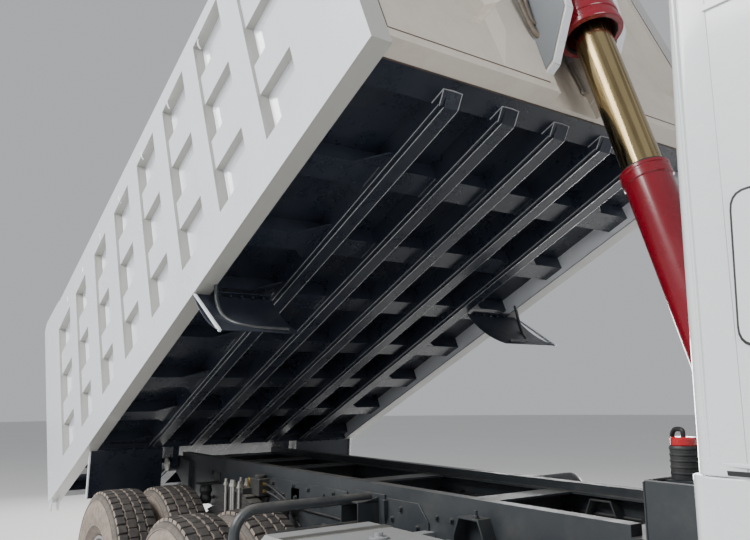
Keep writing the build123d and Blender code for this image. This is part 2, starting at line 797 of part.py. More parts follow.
def fuel_tank():
    """The fuel tank on the right and the battery box and air tanks on the left."""
    outer = FRAME_WIDTH / 2
    tank = block(*TANK_X, -TANK_Y[1], -TANK_Y[0], *TANK_Z)
    tank = chamfer(tank.edges().filter_by(Axis.X), TANK_CORNER)
    for x in TANK_BRACKETS_X:
        tank += block(x, x + BRACKET_WIDTH, -TANK_Y[0] - 40, -outer, *BRACKET_Z)
    box = block(*BATTERY_X, *BATTERY_Y, *BATTERY_Z)
    for x in BATTERY_BRACKETS_X:
        box += block(x, x + BRACKET_WIDTH, outer, BATTERY_Y[0] + 20, *BRACKET_Z)
    rear, front = AIR_TANK_X
    tanks = None
    for x in AIR_CARRIERS_X:
        low = AIR_TANK_Z + AIR_TANK_R
        carrier = block(x, x + BRACKET_WIDTH, outer, AIR_TANK_Y[1] + 120, low, low + BRACKET_WIDTH)
        tanks = carrier if tanks is None else tanks + carrier
    for y in AIR_TANK_Y:
        tanks += flat_bar((rear, y, AIR_TANK_Z), (front, y, AIR_TANK_Z), AIR_TANK_R)
    return [tank, box, tanks]


def front_tow_x():
    """Where the front tow bore stands."""
    return CAB_FRONT_X + BUMPER_REACH - 35


def front_bumper():
    """The steel bumper on the rails' front ends and the steps behind it."""
    front = CAB_FRONT_X + BUMPER_REACH
    rear, bend = front - BUMPER_LENGTH, front - BUMPER_BEND
    low, high = BUMPER_Z
    half = CAB_HALF_WIDTH - 20
    flat = half - 160
    outline = [(rear, -half), (bend, -half), (front, -flat), (front, flat), (bend, half), (rear, half)]
    face = make_face(Polyline(*[(x, y, low) for x, y in outline], close=True))
    bumper = extrude(face, amount=high - low, dir=(0, 0, 1))
    bumper -= block(rear - 5, bend, -half + BUMPER_WALL, half - BUMPER_WALL, low - 5, high - 50)
    bumper -= block(bend - 1, front + 1, -TOW_HALF_WIDTH, TOW_HALF_WIDTH, low - 1, TOW_FRONT_Z + 60)
    bumper += block(front - 130, front - 5, -TOW_HALF_WIDTH, TOW_HALF_WIDTH,
                    TOW_FRONT_Z - TOW_PLATE / 2, TOW_FRONT_Z + TOW_PLATE / 2)
    x = front_tow_x()
    bumper -= bar((x, 0, TOW_FRONT_Z - TOW_PLATE), (x, 0, TOW_FRONT_Z + TOW_PLATE), TOW_BORE_R)
    for side in (-1, 1):
        inner, outer = sorted((side * (FRAME_WIDTH / 2 - RAIL_FLANGE), side * FRAME_WIDTH / 2))
        bumper += block(RAIL_FRONT_X, bend, inner, outer, 700, 900)
        bumper += block(RAIL_FRONT_X, RAIL_FRONT_X + 20, inner, outer, 700, FRAME_TOP - 5)
        step_inner = CAB_HALF_WIDTH - 5 - STEP_WIDTH
        step_low, step_high = sorted((side * step_inner, side * (step_inner + STEP_WIDTH)))
        for z in STEP_LEVELS:
            bumper += block(*STEP_X, step_low, step_high, z, z + STEP_WALL)
        wall_low, wall_high = sorted((side * step_inner, side * (step_inner + STEP_WALL)))
        wall_front, wall_top = STEP_X[1] + STEP_WALL, CAB_BOTTOM - 70
        bumper += block(STEP_X[0], wall_front, wall_low, wall_high, STEP_LEVELS[0], wall_top)
    return bumper


def rear_bumper():
    """The rear underrun bar with its brackets and lamps."""
    x = HINGE_X - 130
    bar_piece = block(x - 40, x + 40, -1150, 1150, 470, 590)
    for side in (-1, 1):
        inner, outer = sorted((side * (FRAME_WIDTH / 2 - 60), side * FRAME_WIDTH / 2))
        arm = side_plate([(x - 40, 590), (x + 40, 590), (RAIL_REAR_X + 100, FRAME_TOP - RAIL_DEPTH),
                          (RAIL_REAR_X, FRAME_TOP - RAIL_DEPTH)], inner, outer)
        bar_piece += arm
        low, high = sorted((side * 700, side * 1100))
        bar_piece += block(x - 60, x + 20, low, high, 590, 720)
    return bar_piece


def guard_tubes():
    """Bent guard tubes that run outboard from the rails in front of the rear wheels."""
    outer = FRAME_WIDTH / 2
    runs = [(FRAME_TOP, 1170), (FRAME_TOP - 130, 1050)]
    left = block(GUARD_X - 130, GUARD_X + 130, outer, outer + 12, FRAME_TOP - 190, FRAME_TOP - 5)
    for z, reach in runs:
        level = z - 5 - GUARD_R
        path = [(GUARD_X, outer + 5, level), (GUARD_X, reach - GUARD_BEND, level),
                (GUARD_X, reach, level - GUARD_BEND), (GUARD_X, reach, z - GUARD_END_DROP)]
        left += mitred_bar(path, GUARD_R, GUARD_SIDES)
    return both_sides([left])


# Bed


def front_sheet_u():
    """The inside face of the front wall."""
    return BED_FRONT_U - FRONT_SETBACK - FRONT_WALL - FRONT_SHEET


def long_beam(y):
    """One long beam under the floor: a step along its right edge, its nose cut off at a slant."""
    end_u = front_sheet_u() - 55
    edge, half = y - BEAM_WIDTH / 2 + BEAM_EDGE, BEAM_WIDTH / 2
    strips = []
    for low, y0, y1 in ((0, edge, y + half), (BEAM_STEP, y - half, edge)):
        outline = [(BED_REAR_U, low), (end_u - BEAM_NOSE, low), (end_u, FRONT_BOTTOM_N),
                   (end_u, BEAM_DEPTH), (BED_REAR_U, BEAM_DEPTH)]
        strips.append(side_plate(outline, y0, y1))
    return strips


def bed_floor():
    """The floor plate on five long beams and a row of cross-beams, with the hinge lugs."""
    sheet_u = front_sheet_u()
    inside = BED_HALF_WIDTH - SIDE_WALL
    sill = BED_HALF_WIDTH - SILL_WIDTH
    floor = block(BED_REAR_U, sheet_u, -inside, inside, BEAM_DEPTH, BEAM_DEPTH + FLOOR_PLATE)
    beams = [strip for k in range(-2, 3) for strip in long_beam(k * BEAM_SPACING)]
    for k in range(CROSSBEAM_COUNT):
        u = CROSSBEAM_FIRST_U + k * CROSSBEAM_PITCH
        beams.append(block(u, u + CROSSBEAM_WIDTH, -sill, sill, BEAM_DEPTH - CROSSBEAM_DEPTH, BEAM_DEPTH))
    beams.append(block(HINGE_U - 130, HINGE_U + 130, -sill, sill, 0, BEAM_DEPTH))
    beams.append(block(sheet_u - FRONT_BEAM_WIDTH, sheet_u, -sill, sill, FRONT_BOTTOM_N, BEAM_DEPTH))
    low = HINGE_N - 30
    outline = [(HINGE_U - 130, 0), (HINGE_U + 130, 0), (HINGE_U + 50, low), (HINGE_U - 50, low)]
    inner, outer = HINGE_LUG_Y, HINGE_LUG_Y + HINGE_LUG_WIDTH
    lug = side_plate(outline, inner, outer)
    lug += flat_bar((HINGE_U, inner, HINGE_N), (HINGE_U, outer, HINGE_N), HINGE_EYE_R - 4)
    lug -= flat_bar((HINGE_U, inner - 1, HINGE_N), (HINGE_U, outer + 1, HINGE_N), HINGE_PIN_R + PIN_GAP)
    return floor + beams + [lug, mirrored(lug)]


def pocket_space(u0, u1, n0, n1):
    """The space of one pressed pocket: steep sides, then a slanted strip down to its floor."""
    face = BED_HALF_WIDTH - BAND_SETBACK
    outline = [(u0, n0), (u1, n0), (u1, n1), (u0, n1)]
    rings = []
    for depth, inset in ((-1, 0), (POCKET_STEEP, POCKET_STEEP_INSET), (POCKET_DEPTH, POCKET_INSET)):
        rings.append([Vector(u, face - depth, n) for u, n in inset_outline(outline, inset)])
    return ringed_solid(rings)


def bed_side():
    """The left side wall with its bands and pressed pockets, its sill and its posts."""
    outer = BED_HALF_WIDTH
    inner, sill = outer - SIDE_WALL, outer - SILL_WIDTH
    outline = [
        (BED_REAR_U, 0),
        (BED_FRONT_U, 0),
        (BED_FRONT_U, SIDE_FRONT_HEIGHT),
        (REAR_POST_U + 55, SIDE_REAR_HEIGHT),
        (REAR_POST_U + 50, REAR_POST_HEIGHT - 47),
        (60, REAR_POST_HEIGHT),
        (BED_REAR_U, REAR_POST_HEIGHT - 46),
    ]
    wall = side_plate(outline, inner, outer)
    wall += block(BED_REAR_U, front_sheet_u(), sill, inner, 0, BEAM_DEPTH)
    wall += block(front_sheet_u(), BED_FRONT_U, sill, inner, 0, SIDE_FRONT_HEIGHT)
    rows = [(low * SIDE_FRONT_HEIGHT, high * SIDE_FRONT_HEIGHT) for low, high in POCKET_ROWS]
    spaces = []
    for rear, front in POCKET_COLUMNS:
        u0, u1 = rear * BED_FRONT_U, front * BED_FRONT_U
        spaces.append(block(u0, u1, outer - BAND_SETBACK, outer + 1, rows[0][0], rows[-1][1]))
        spaces += [pocket_space(u0, u1, low, high) for low, high in rows]
    wall -= spaces
    wall += pin_along_y(0, TAILGATE_PIN_N, inner - 108, inner, TAILGATE_PIN_R)
    return wall


def panel_space():
    """The space of the left sunken panel of the front wall."""
    face_u = BED_FRONT_U - FRONT_SETBACK
    outer = BED_HALF_WIDTH - SILL_WIDTH - PANEL_EDGE
    top = SIDE_FRONT_HEIGHT - PANEL_TOP_EDGE
    outline = [(PANEL_CORNER_Y, PANEL_LOW_N), (outer, PANEL_LOW_N), (outer, top),
               (PANEL_INNER_Y, top), (PANEL_INNER_Y, PANEL_INNER_N)]
    rings = []
    for depth, inset in ((-1, 0), (PANEL_DEPTH, PANEL_INSET)):
        rings.append([Vector(face_u - depth, y, n) for y, n in inset_outline(outline, inset)])
    return ringed_solid(rings)


def raised_field():
    """The left field beside the hoist, which rises out of the front wall and slants away to its side."""
    wall, full, sunk = (BED_FRONT_U - FRONT_SETBACK + rise for rise in (0, FIELD_RISE, -5))
    slant = (PANEL_INNER_N - PANEL_LOW_N) / (PANEL_CORNER_Y - PANEL_INNER_Y)
    edge_y, inner_y, top = FIELD_FOOT_Y - 3, PANEL_INNER_Y - 2, SIDE_FRONT_HEIGHT
    low_n = PANEL_LOW_N - 3
    edge_n, fold_n, inner_n = (low_n + (PANEL_CORNER_Y - y) * slant for y in (edge_y, FIELD_FOLD_Y, inner_y))
    corners = {
        "foot": (CHEEK_Y, FIELD_FOOT_N),
        "foot_edge": (FIELD_FOOT_Y, FIELD_FOOT_N),
        "edge": (edge_y, edge_n),
        "fold": (FIELD_FOLD_Y, fold_n),
        "inner": (inner_y, inner_n),
        "inner_top": (inner_y, top),
        "top": (CHEEK_Y, top),
        "full": (CHEEK_Y, FIELD_FULL_N),
        "full_edge": (FIELD_FOLD_Y, FIELD_FULL_N),
    }
    points = {}
    for prefix, u in (("", wall), ("sunk_", sunk), ("high_", full)):
        for name, (y, n) in corners.items():
            points[prefix + name] = (u, y, n)
    faces = [
        ("foot", "foot_edge", "high_full_edge", "high_full"),
        ("foot_edge", "edge", "high_full_edge"),
        ("edge", "high_fold", "high_full_edge"),
        ("sunk_edge", "edge", "high_fold", "sunk_fold"),
        ("sunk_fold", "high_fold", "high_inner", "sunk_inner"),
        ("sunk_inner", "high_inner", "high_inner_top", "sunk_inner_top"),
        ("sunk_inner_top", "high_inner_top", "high_top", "sunk_top"),
        ("sunk_top", "high_top", "high_full", "foot", "sunk_foot"),
        ("sunk_foot", "foot", "foot_edge", "sunk_foot_edge"),
        ("sunk_foot_edge", "foot_edge", "edge", "sunk_edge"),
        ("high_full", "high_full_edge", "high_fold", "high_inner", "high_inner_top", "high_top"),
        ("sunk_foot", "sunk_foot_edge", "sunk_edge", "sunk_fold", "sunk_inner", "sunk_inner_top",
         "sunk_top"),
    ]
    return flat_faced_solid(points, faces)


def bed_front():
    """The front wall with its sunken panels and raised fields, and the bracket that carries the hoist."""
    half = BED_HALF_WIDTH - SILL_WIDTH
    face_u = BED_FRONT_U - FRONT_SETBACK
    bay_u = face_u - FRONT_WALL
    low, top = FRONT_BOTTOM_N, SIDE_FRONT_HEIGHT
    sheet = block(bay_u - FRONT_SHEET, bay_u, -half, half, low, top)
    frame = block(bay_u, face_u, CHEEK_Y, half, low, top) - panel_space() + raised_field()
    cheek = [
        (bay_u, 140),
        (BED_FRONT_U + 47, 168),
        (BED_FRONT_U + 115, 237),
        (BED_FRONT_U + 221, 344),
        (TRUNNION_U + 80, TRUNNION_N),
        (TRUNNION_U + 40, TRUNNION_N + 80),
        (bay_u, 1000),
    ]
    outer = CHEEK_Y + CHEEK_WALL
    frame += side_plate(cheek, CHEEK_Y, outer)
    bore = [(TRUNNION_U, y, TRUNNION_N) for y in (CHEEK_Y - 1, outer + 1)]
    frame -= flat_bar(*bore, TRUNNION_R + PIN_GAP)
    return sheet + frame + mirrored(frame)


def bed_flaps():
    """The mudguard plates and rear flaps that hang from the bed."""
    pieces = []
    for u0, n0, u1, n1, y0, y1 in BED_PLATES.values():
        outline = [(u0, n0), (u0 + PLATE_WALL, n0), (u1 + PLATE_WALL, n1), (u1, n1)]
        pieces.append(side_plate(outline, y0, y1))
    return both_sides(pieces)


def tailgate():
    """The tailgate, hung from its top pins between the rear posts."""
    half = BED_HALF_WIDTH - SIDE_WALL - MOVING_GAP
    low = BEAM_DEPTH + FLOOR_PLATE + MOVING_GAP
    sheet_u = BED_REAR_U + TAILGATE_RIB
    gate = block(sheet_u, sheet_u + TAILGATE_SHEET, -half, half, low, TAILGATE_TOP_N)
    for n0, n1 in ((low, low + 110), (800, 900), (TAILGATE_TOP_N - 110, TAILGATE_TOP_N)):
        gate += block(BED_REAR_U, sheet_u, -half, half, n0, n1)
    for y in (60 - half, -560, 0, 560, half - 60):
        gate += block(BED_REAR_U, sheet_u, y - 60, y + 60, low, TAILGATE_TOP_N)
    for side in (-1, 1):
        inner, outer = sorted((side * (half - 90), side * (half - 50)))
        hanger = [
            (BED_REAR_U, TAILGATE_TOP_N),
            (sheet_u + TAILGATE_SHEET, TAILGATE_TOP_N),
            (30, TAILGATE_PIN_N + 25),
            (-30, TAILGATE_PIN_N + 25),
        ]
        gate += side_plate(hanger, inner, outer)
        bore = [(0, y, TAILGATE_PIN_N) for y in (inner - 1, outer + 1)]
        gate -= flat_bar(*bore, TAILGATE_PIN_R + PIN_GAP)
    return gate


# Hoist


def hoist_base():
    """The hoist's base tube and foot eye, along the hoist's axis."""
    base = open_tube(BASE_R, STAGE_1_R + TUBE_GAP, BASE_FOOT, BASE_TOP, floor=12)
    base += block(-50, 50, -78, 78, -10, BASE_FOOT)
    base += flat_bar((0, -78, 0), (0, 78, 0), 58)
    return base - flat_bar((0, -80, 0), (0, 80, 0), FOOT_PIN_R + PIN_GAP)


def hoist_stage_1():
    """The outer stage, along the hoist's axis."""
    return open_tube(STAGE_1_R, STAGE_2_R + TUBE_GAP, STAGE_1_START, STAGE_1_START + STAGE_1_LENGTH)


def hoist_stage_2():
    """The inner stage, along the hoist's axis."""
    low = (Align.CENTER, Align.CENTER, Align.MIN)
    return Pos(0, 0, STAGE_2_START) * Cylinder(STAGE_2_R, STAGE_2_LENGTH, align=low)


def hoist_cover():
    """The cover tube on the bed's trunnions, along the hoist's axis."""
    middle = hoist_length()
    bottom, top = middle - COVER_BELOW, middle + COVER_ABOVE
    low = (Align.CENTER, Align.CENTER, Align.MIN)
    cover = Pos(0, 0, bottom) * Cylinder(COVER_R, top - bottom, align=low)
    cover -= flat_bar((0, 0, bottom), (0, 0, top - TUBE_END), COVER_BORE_R, BORE_SIDES)
    for side in (-1, 1):
        inner, outer = sorted((side * (COVER_BORE_R + 5), side * (CHEEK_Y + CHEEK_WALL + 10)))
        cover += pin_along_y(0, middle, inner, outer, TRUNNION_R)
    return cover


# Cab

# Side view of the cab, counter-clockwise from the rear bottom corner: x, z
CAB_OUTLINE = [
    (CAB_REAR_X, CAB_BOTTOM),
    (CAB_FRONT_X, CAB_BOTTOM),
    (CAB_FRONT_X - 10, WINDOW_SILL_Z - 80),
    (CAB_FRONT_X - 190, CAB_ROOF - 130),
    (CAB_FRONT_X - 420, CAB_ROOF),
    (CAB_REAR_X + 120, CAB_ROOF),
    (CAB_REAR_X, CAB_ROOF - 120),
]


def cab_hollow():
    """The cab's inside space."""
    wall = CAB_WALL
    return side_plate(
        [
            (CAB_REAR_X + wall, CAB_FLOOR_TOP),
            (CAB_FRONT_X - wall - 4, CAB_FLOOR_TOP),
            (CAB_FRONT_X - wall - 10, WINDOW_SILL_Z - 80),
            (CAB_FRONT_X - wall - 190, CAB_ROOF - 150),
            (CAB_FRONT_X - wall - 400, CAB_ROOF - wall),
            (CAB_REAR_X + 140, CAB_ROOF - wall),
            (CAB_REAR_X + wall, CAB_ROOF - 140),
        ],
        -CAB_HALF_WIDTH + wall,
        CAB_HALF_WIDTH - wall,
    )


def door_outline(gap):
    """The door in side view, made smaller all round by a gap."""
    return [
        (DOOR_REAR_X + gap, SILL_Z + gap),
        (DOOR_FRONT_X - gap, SILL_Z + gap),
        (DOOR_FRONT_X - gap, WINDOW_SILL_Z),
        (DOOR_FRONT_X - 150 - gap, DOOR_TOP_Z - gap),
        (DOOR_REAR_X + gap, DOOR_TOP_Z - gap),
    ]


def door_window(gap):
    """The door's window in side view, made smaller all round by a gap."""
    return [
        (DOOR_REAR_X + 90 + gap, WINDOW_SILL_Z + gap),
        (DOOR_FRONT_X - 95 - gap, WINDOW_SILL_Z + gap),
        (DOOR_FRONT_X - 215 - gap, DOOR_TOP_Z - 90 - gap),
        (DOOR_REAR_X + 90 + gap, DOOR_TOP_Z - 90 - gap),
    ]


def windscreen_outline(gap):
    """The windscreen's edge in front view, made smaller all round by a gap."""
    half = CAB_HALF_WIDTH - 130 - gap
    low, high = WINDOW_SILL_Z - 40 + gap, CAB_ROOF - 200 - gap
    return [(-half, low), (half, low), (half - 60, high), (-half + 60, high)]


def cab_whole():
    """The hollow cab with its door, window and wheel openings, before it is split into panels."""
    cab = side_plate(CAB_OUTLINE, -CAB_HALF_WIDTH, CAB_HALF_WIDTH)
    upright = [edge for edge in cab.edges().filter_by(Axis.Z) if edge.center().X < CAB_REAR_X + 1]
    cab = fillet(upright, 80)
    cab -= cab_hollow()
    reach = CAB_HALF_WIDTH + 1
    doorway = side_plate(door_outline(0), CAB_HALF_WIDTH - CAB_WALL - MOVING_GAP, reach)
    cab -= [doorway, mirrored(doorway)]
    cab -= cross_plate(windscreen_outline(0), CAB_FRONT_X - 400, CAB_FRONT_X + 1)
    arch_r, axle_z = TYRE_OD / 2 + ARCH_CLEARANCE, TYRE_OD / 2
    cab -= flat_bar((FRONT_AXLE_X, -reach, axle_z), (FRONT_AXLE_X, reach, axle_z), arch_r, ARCH_SIDES)
    under = CAB_FLOOR_TOP - CAB_WALL
    cab -= block(CAB_REAR_X - 1, CAB_FRONT_X - 100, -CAB_SKIRT_Y, CAB_SKIRT_Y, CAB_BOTTOM - 1, under)
    tunnel = TUNNEL_HALF_WIDTH
    rear, front = TUNNEL_X
    cab += block(rear, front, -tunnel, tunnel, CAB_FLOOR_TOP - 1, TUNNEL_TOP)
    cab -= block(rear + 40, front - 40, -tunnel + 40, tunnel - 40, under - 1, TUNNEL_TOP - 40)
    return cab


def cab_panels():
    """The cab's floor, body and front panel."""
    cab = cab_whole()
    reach = CAB_HALF_WIDTH + 50
    front_x = CAB_FRONT_X - 130
    floor_box = block(CAB_REAR_X - 9, front_x, -reach, reach, CAB_BOTTOM - 9, CAB_FLOOR_TOP)
    floor_box += block(*TUNNEL_X, -TUNNEL_HALF_WIDTH, TUNNEL_HALF_WIDTH, CAB_FLOOR_TOP, TUNNEL_TOP)
    front_box = block(front_x, CAB_FRONT_X + 9, -reach, reach, CAB_BOTTOM - 9, WINDOW_SILL_Z - 40)
    floor = cab & floor_box
    front = cab & front_box
    body = cab - floor_box - front_box
    for z in DOOR_HINGE_Z:
        hinge = door_hinge_on_cab(z)
        body += hinge + mirrored(hinge)
    body += [mirror(), mirrored(mirror())]
    for side in (-1, 1):
        inner, outer = sorted((side * CAB_ARM_Y, side * (CAB_ARM_Y + CAB_ARM_WALL)))
        under = CAB_FLOOR_TOP - CAB_WALL
        outline = [
            (CAB_HINGE_X - 150, under),
            (CAB_HINGE_X - 55, under),
            (CAB_HINGE_X - 55, CAB_BOTTOM - 30),
            (CAB_HINGE_X + 45, CAB_HINGE_Z + 10),
            (CAB_HINGE_X - 40, CAB_HINGE_Z - 30),
            (CAB_HINGE_X - 150, CAB_BOTTOM),
        ]
        arm = side_plate(outline, inner, outer)
        eye = [(CAB_HINGE_X, y, CAB_HINGE_Z) for y in (inner, outer)]
        bore = [(CAB_HINGE_X, y, CAB_HINGE_Z) for y in (inner - 1, outer + 1)]
        arm += flat_bar(*eye, CAB_HINGE_R + 22)
        arm -= flat_bar(*bore, CAB_HINGE_R + PIN_GAP)
        floor += arm
    return floor, body, front


def cab_hinge():
    """Brackets on the rails with the pins that the cab tilts on."""
    outer = FRAME_WIDTH / 2
    far = CAB_ARM_Y - 20
    bracket = block(CAB_HINGE_X - 110, CAB_HINGE_X + 40, outer, far, CAB_HINGE_Z - 40, CAB_HINGE_Z + 45)
    bracket += pin_along_y(CAB_HINGE_X, CAB_HINGE_Z, far - 5, CAB_ARM_Y + CAB_ARM_WALL + 40, CAB_HINGE_R)
    return [bracket, mirrored(bracket)]


def mirror():
    """The left mirror on its two arms."""
    rear, front = MIRROR_X
    low, high = MIRROR_Z
    near, far = (CAB_HALF_WIDTH + reach for reach in MIRROR_REACH)
    outline = [(near, rear), (far, rear), (far - 25, front), (near + 25, front)]
    face = make_face(Polyline(*[(x, y, low) for y, x in outline], close=True))
    housing = extrude(face, amount=high - low, dir=(0, 0, 1))
    arms = [block(rear, rear + 25, CAB_HALF_WIDTH - 10, far - 40, z, z + 22) for z in (low - 22, high)]
    return housing + arms


def cab_glass():
    """The windscreen."""
    glass = side_plate(
        [
            (CAB_FRONT_X - 40, WINDOW_SILL_Z - 80),
            (CAB_FRONT_X - 30, WINDOW_SILL_Z - 80),
            (CAB_FRONT_X - 210, CAB_ROOF - 130),
            (CAB_FRONT_X - 220, CAB_ROOF - 130),
        ],
        -CAB_HALF_WIDTH,
        CAB_HALF_WIDTH,
    )
    return glass & cross_plate(windscreen_outline(0), CAB_FRONT_X - 400, CAB_FRONT_X + 1)


def cab_interior():
    """Two seats, the dashboard, the steering wheel and its column."""
    floor = CAB_FLOOR_TOP
    seat_top, back_top = floor + SEAT_HEIGHT, floor + SEAT_BACK_HEIGHT
    rear, front = SEAT_X
    pieces = []
    for y in (-SEAT_Y, SEAT_Y):
        seat = block(rear, front, y - SEAT_HALF_WIDTH, y + SEAT_HALF_WIDTH, floor, seat_top)
        back = [(rear - SEAT_BACK_WALL, seat_top), (rear, seat_top), (rear - SEAT_BACK_LEAN, back_top),
                (rear - SEAT_BACK_LEAN - SEAT_BACK_WALL, back_top)]
        pieces.append(seat + side_plate(back, y - SEAT_HALF_WIDTH + 10, y + SEAT_HALF_WIDTH - 10))
    nose = CAB_FRONT_X
    dash_outline = [(nose - 320, floor + 250), (nose - 80, floor), (nose - 80, floor + 420),
                    (nose - 260, floor + 480), (nose - 380, floor + 380)]
    half = CAB_HALF_WIDTH - CAB_WALL - MOVING_GAP
    dash = side_plate(dash_outline, -half, half)
    middle = (STEERING_X, SEAT_Y, floor + STEERING_RISE)
    wheel_place = Pos(*middle) * Rot(0, -STEERING_LEAN, 0)
    rim = [(241, -7), (241, 7), (225, 16), (209, 7), (209, -7), (225, -16)]
    steering = wheel_place * Rot(90, 0, 0) * flat_sided_ring(rim, 16)
    steering += wheel_place * Box(430, 40, 16)
    steering += flat_bar(middle, (nose - 320, SEAT_Y, floor + 330), 28)
    pieces.append(dash + steering)
    return pieces


def door_hinge_y():
    """How far out the door's hinge axis stands."""
    return CAB_HALF_WIDTH + DOOR_HINGE_R + 2


def door_hinge_on_cab(z):
    """The left door's hinge pin at one height, and the knuckle and leaf that hold it on the cab."""
    x, y, half = DOOR_FRONT_X, door_hinge_y(), DOOR_HINGE_LENGTH / 2
    low = z + half + 0.5
    hinge = bar((x, y, z - half), (x, y, low + 30), DOOR_HINGE_PIN_R)
    hinge += Pos(x, y, low) * extrude(RegularPolygon(DOOR_HINGE_R, 8), amount=30)
    hinge += block(x, x + 60, CAB_HALF_WIDTH, CAB_HALF_WIDTH + 8, low, low + 30)
    return hinge


def door():
    """The left door with its window cut."""
    outer = CAB_HALF_WIDTH
    leaf = side_plate(door_outline(MOVING_GAP), outer - CAB_WALL, outer)
    leaf -= side_plate(door_window(0), outer - CAB_WALL - 1, outer + 1)
    x, y, half = DOOR_FRONT_X, door_hinge_y(), DOOR_HINGE_LENGTH / 2
    for z in DOOR_HINGE_Z:
        leaf += block(x - 70, x, outer, outer + 8, z - half, z + half)
        leaf += Pos(x, y, z - half) * extrude(RegularPolygon(DOOR_HINGE_R, 8), amount=2 * half)
        leaf -= flat_bar((x, y, z - half - 1), (x, y, z + half + 1), DOOR_HINGE_PIN_R + PIN_GAP, 8)
    handle_z = (WINDOW_SILL_Z - 130, WINDOW_SILL_Z - 95)
    leaf += block(DOOR_REAR_X + 60, DOOR_REAR_X + 240, outer, outer + 22, *handle_z)
    return leaf


def door_glass():
    """The left door's window glass."""
    middle = CAB_HALF_WIDTH - CAB_WALL / 2
    return side_plate(door_window(0), middle - DOOR_GLASS / 2, middle + DOOR_GLASS / 2)


def solids_of(shapes):
    """Every solid of a shape or a list of shapes."""
    if not isinstance(shapes, (list, tuple)):
        shapes = [shapes]
    return [solid for shape in shapes for solid in shape.solids()]


def truck():
    """Every node of the truck at rest, as a list of solids by name."""
    bed = bed_place(BED_TILT)
    hoist = hoist_place()
    floor, body, front = cab_panels()
    side = bed_side()
    left_door, left_glass = door(), door_glass()
    nodes = {
        "frame_rails": frame_rails(),
        "crossmembers": crossmembers() + [rear_hinge()] + cab_hinge(),
        "hoist_box": [hoist_box(), oil_can()],
        "rear_springs": rear_springs(),
        "drive_axles": drive_axles(),
        "front_axle": front_axle(),
        "front_springs": front_springs(),
        "engine": engine_and_driveline(),
        "fuel_tank": fuel_tank(),
        "front_bumper": front_bumper(),
        "rear_bumper": rear_bumper(),
        "guard_tubes": guard_tubes(),
        "knuckle_left": knuckle(),
        "knuckle_right": mirrored(knuckle()),
        "bed_floor": bed * bed_floor(),
        "bed_side_left": bed * side,
        "bed_side_right": bed * mirrored(side),
        "bed_front": bed * bed_front(),
        "bed_flaps": [bed * plate for plate in bed_flaps()],
        "tailgate": bed * tailgate(),
        "hoist_base": hoist * hoist_base(),
        "hoist_stage_1": hoist * hoist_stage_1(),
        "hoist_stage_2": hoist * hoist_stage_2(),
        "hoist_cover": hoist * hoist_cover(),
        "cab_floor": floor,
        "cab_body": body,
        "cab_front": front,
        "cab_glass": cab_glass(),
        "cab_interior": cab_interior(),
        "door_left": left_door,
        "door_right": mirrored(left_door),
        "door_glass_left": left_glass,
        "door_glass_right": mirrored(left_glass),
    }
    nodes.update(wheel_nodes())
    return {name: solids_of(shapes) for name, shapes in nodes.items()}


def middle_x(nodes):
    """The middle of the whole truck along X."""
    boxes = [solid.bounding_box() for solids in nodes.values() for solid in solids]
    return (min(box.min.X for box in boxes) + max(box.max.X for box in boxes)) / 2


def main():
    os.makedirs("parts", exist_ok=True)
    nodes = truck()
    slide = Pos(-middle_x(nodes), 0, 0)
    for name, solids in nodes.items():
        export_step(Compound([slide * solid for solid in solids]), f"parts/{name}.step")


if __name__ == "__main__":
    main()
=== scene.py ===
"""A three-axle dump truck with its bed raised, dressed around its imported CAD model."""
import json
import math
import random

import bmesh
import bpy
from mathutils import Matrix, Vector

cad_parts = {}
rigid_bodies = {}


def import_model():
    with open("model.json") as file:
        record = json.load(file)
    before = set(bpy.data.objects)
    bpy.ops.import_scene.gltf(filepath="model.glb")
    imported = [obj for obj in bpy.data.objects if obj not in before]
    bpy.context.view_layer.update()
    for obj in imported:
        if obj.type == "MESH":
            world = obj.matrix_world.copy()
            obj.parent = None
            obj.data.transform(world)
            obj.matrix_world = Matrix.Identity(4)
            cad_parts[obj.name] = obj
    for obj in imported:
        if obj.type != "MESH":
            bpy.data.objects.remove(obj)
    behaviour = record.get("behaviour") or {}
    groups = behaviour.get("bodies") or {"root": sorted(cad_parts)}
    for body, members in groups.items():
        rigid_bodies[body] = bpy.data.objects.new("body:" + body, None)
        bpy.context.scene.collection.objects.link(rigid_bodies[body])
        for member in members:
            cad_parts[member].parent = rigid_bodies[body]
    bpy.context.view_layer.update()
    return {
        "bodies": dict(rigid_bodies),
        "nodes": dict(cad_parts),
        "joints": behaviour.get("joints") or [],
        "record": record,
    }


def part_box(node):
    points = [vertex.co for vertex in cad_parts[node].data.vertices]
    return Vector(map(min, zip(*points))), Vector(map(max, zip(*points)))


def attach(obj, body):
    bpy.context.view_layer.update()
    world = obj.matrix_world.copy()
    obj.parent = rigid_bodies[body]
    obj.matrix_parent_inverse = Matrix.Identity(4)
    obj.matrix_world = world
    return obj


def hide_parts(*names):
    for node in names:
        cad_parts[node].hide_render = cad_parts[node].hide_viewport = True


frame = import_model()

joints = {joint["name"]: joint for joint in frame["joints"]}


def middle(node):
    """The middle of a CAD node's box."""
    low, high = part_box(node)
    return (low + high) / 2


# Places: the chassis is measured from the rearmost axle, the bed along its floor, the hoist along its axis
AXLE_X = middle("rim_rear_left").x
chassis_place = Matrix.Translation((AXLE_X, 0, 0))
BED_TILT = math.radians(-joints["bed_tip"]["range_deg"][0])
bed_place = (Matrix.Translation(joints["bed_tip"]["pos_m"]) @ Matrix.Rotation(-BED_TILT, 4, "Y")
             @ Matrix.Translation((-1.1, 0, 0.095)))
hoist_axis = Vector(joints["hoist_stage_1_slide"]["axis"])
HOIST_LEAN = math.atan2(-hoist_axis.x, hoist_axis.z)
hoist_place = Matrix.Translation(joints["hoist_base_swing"]["pos_m"]) @ Matrix.Rotation(-HOIST_LEAN, 4, "Y")


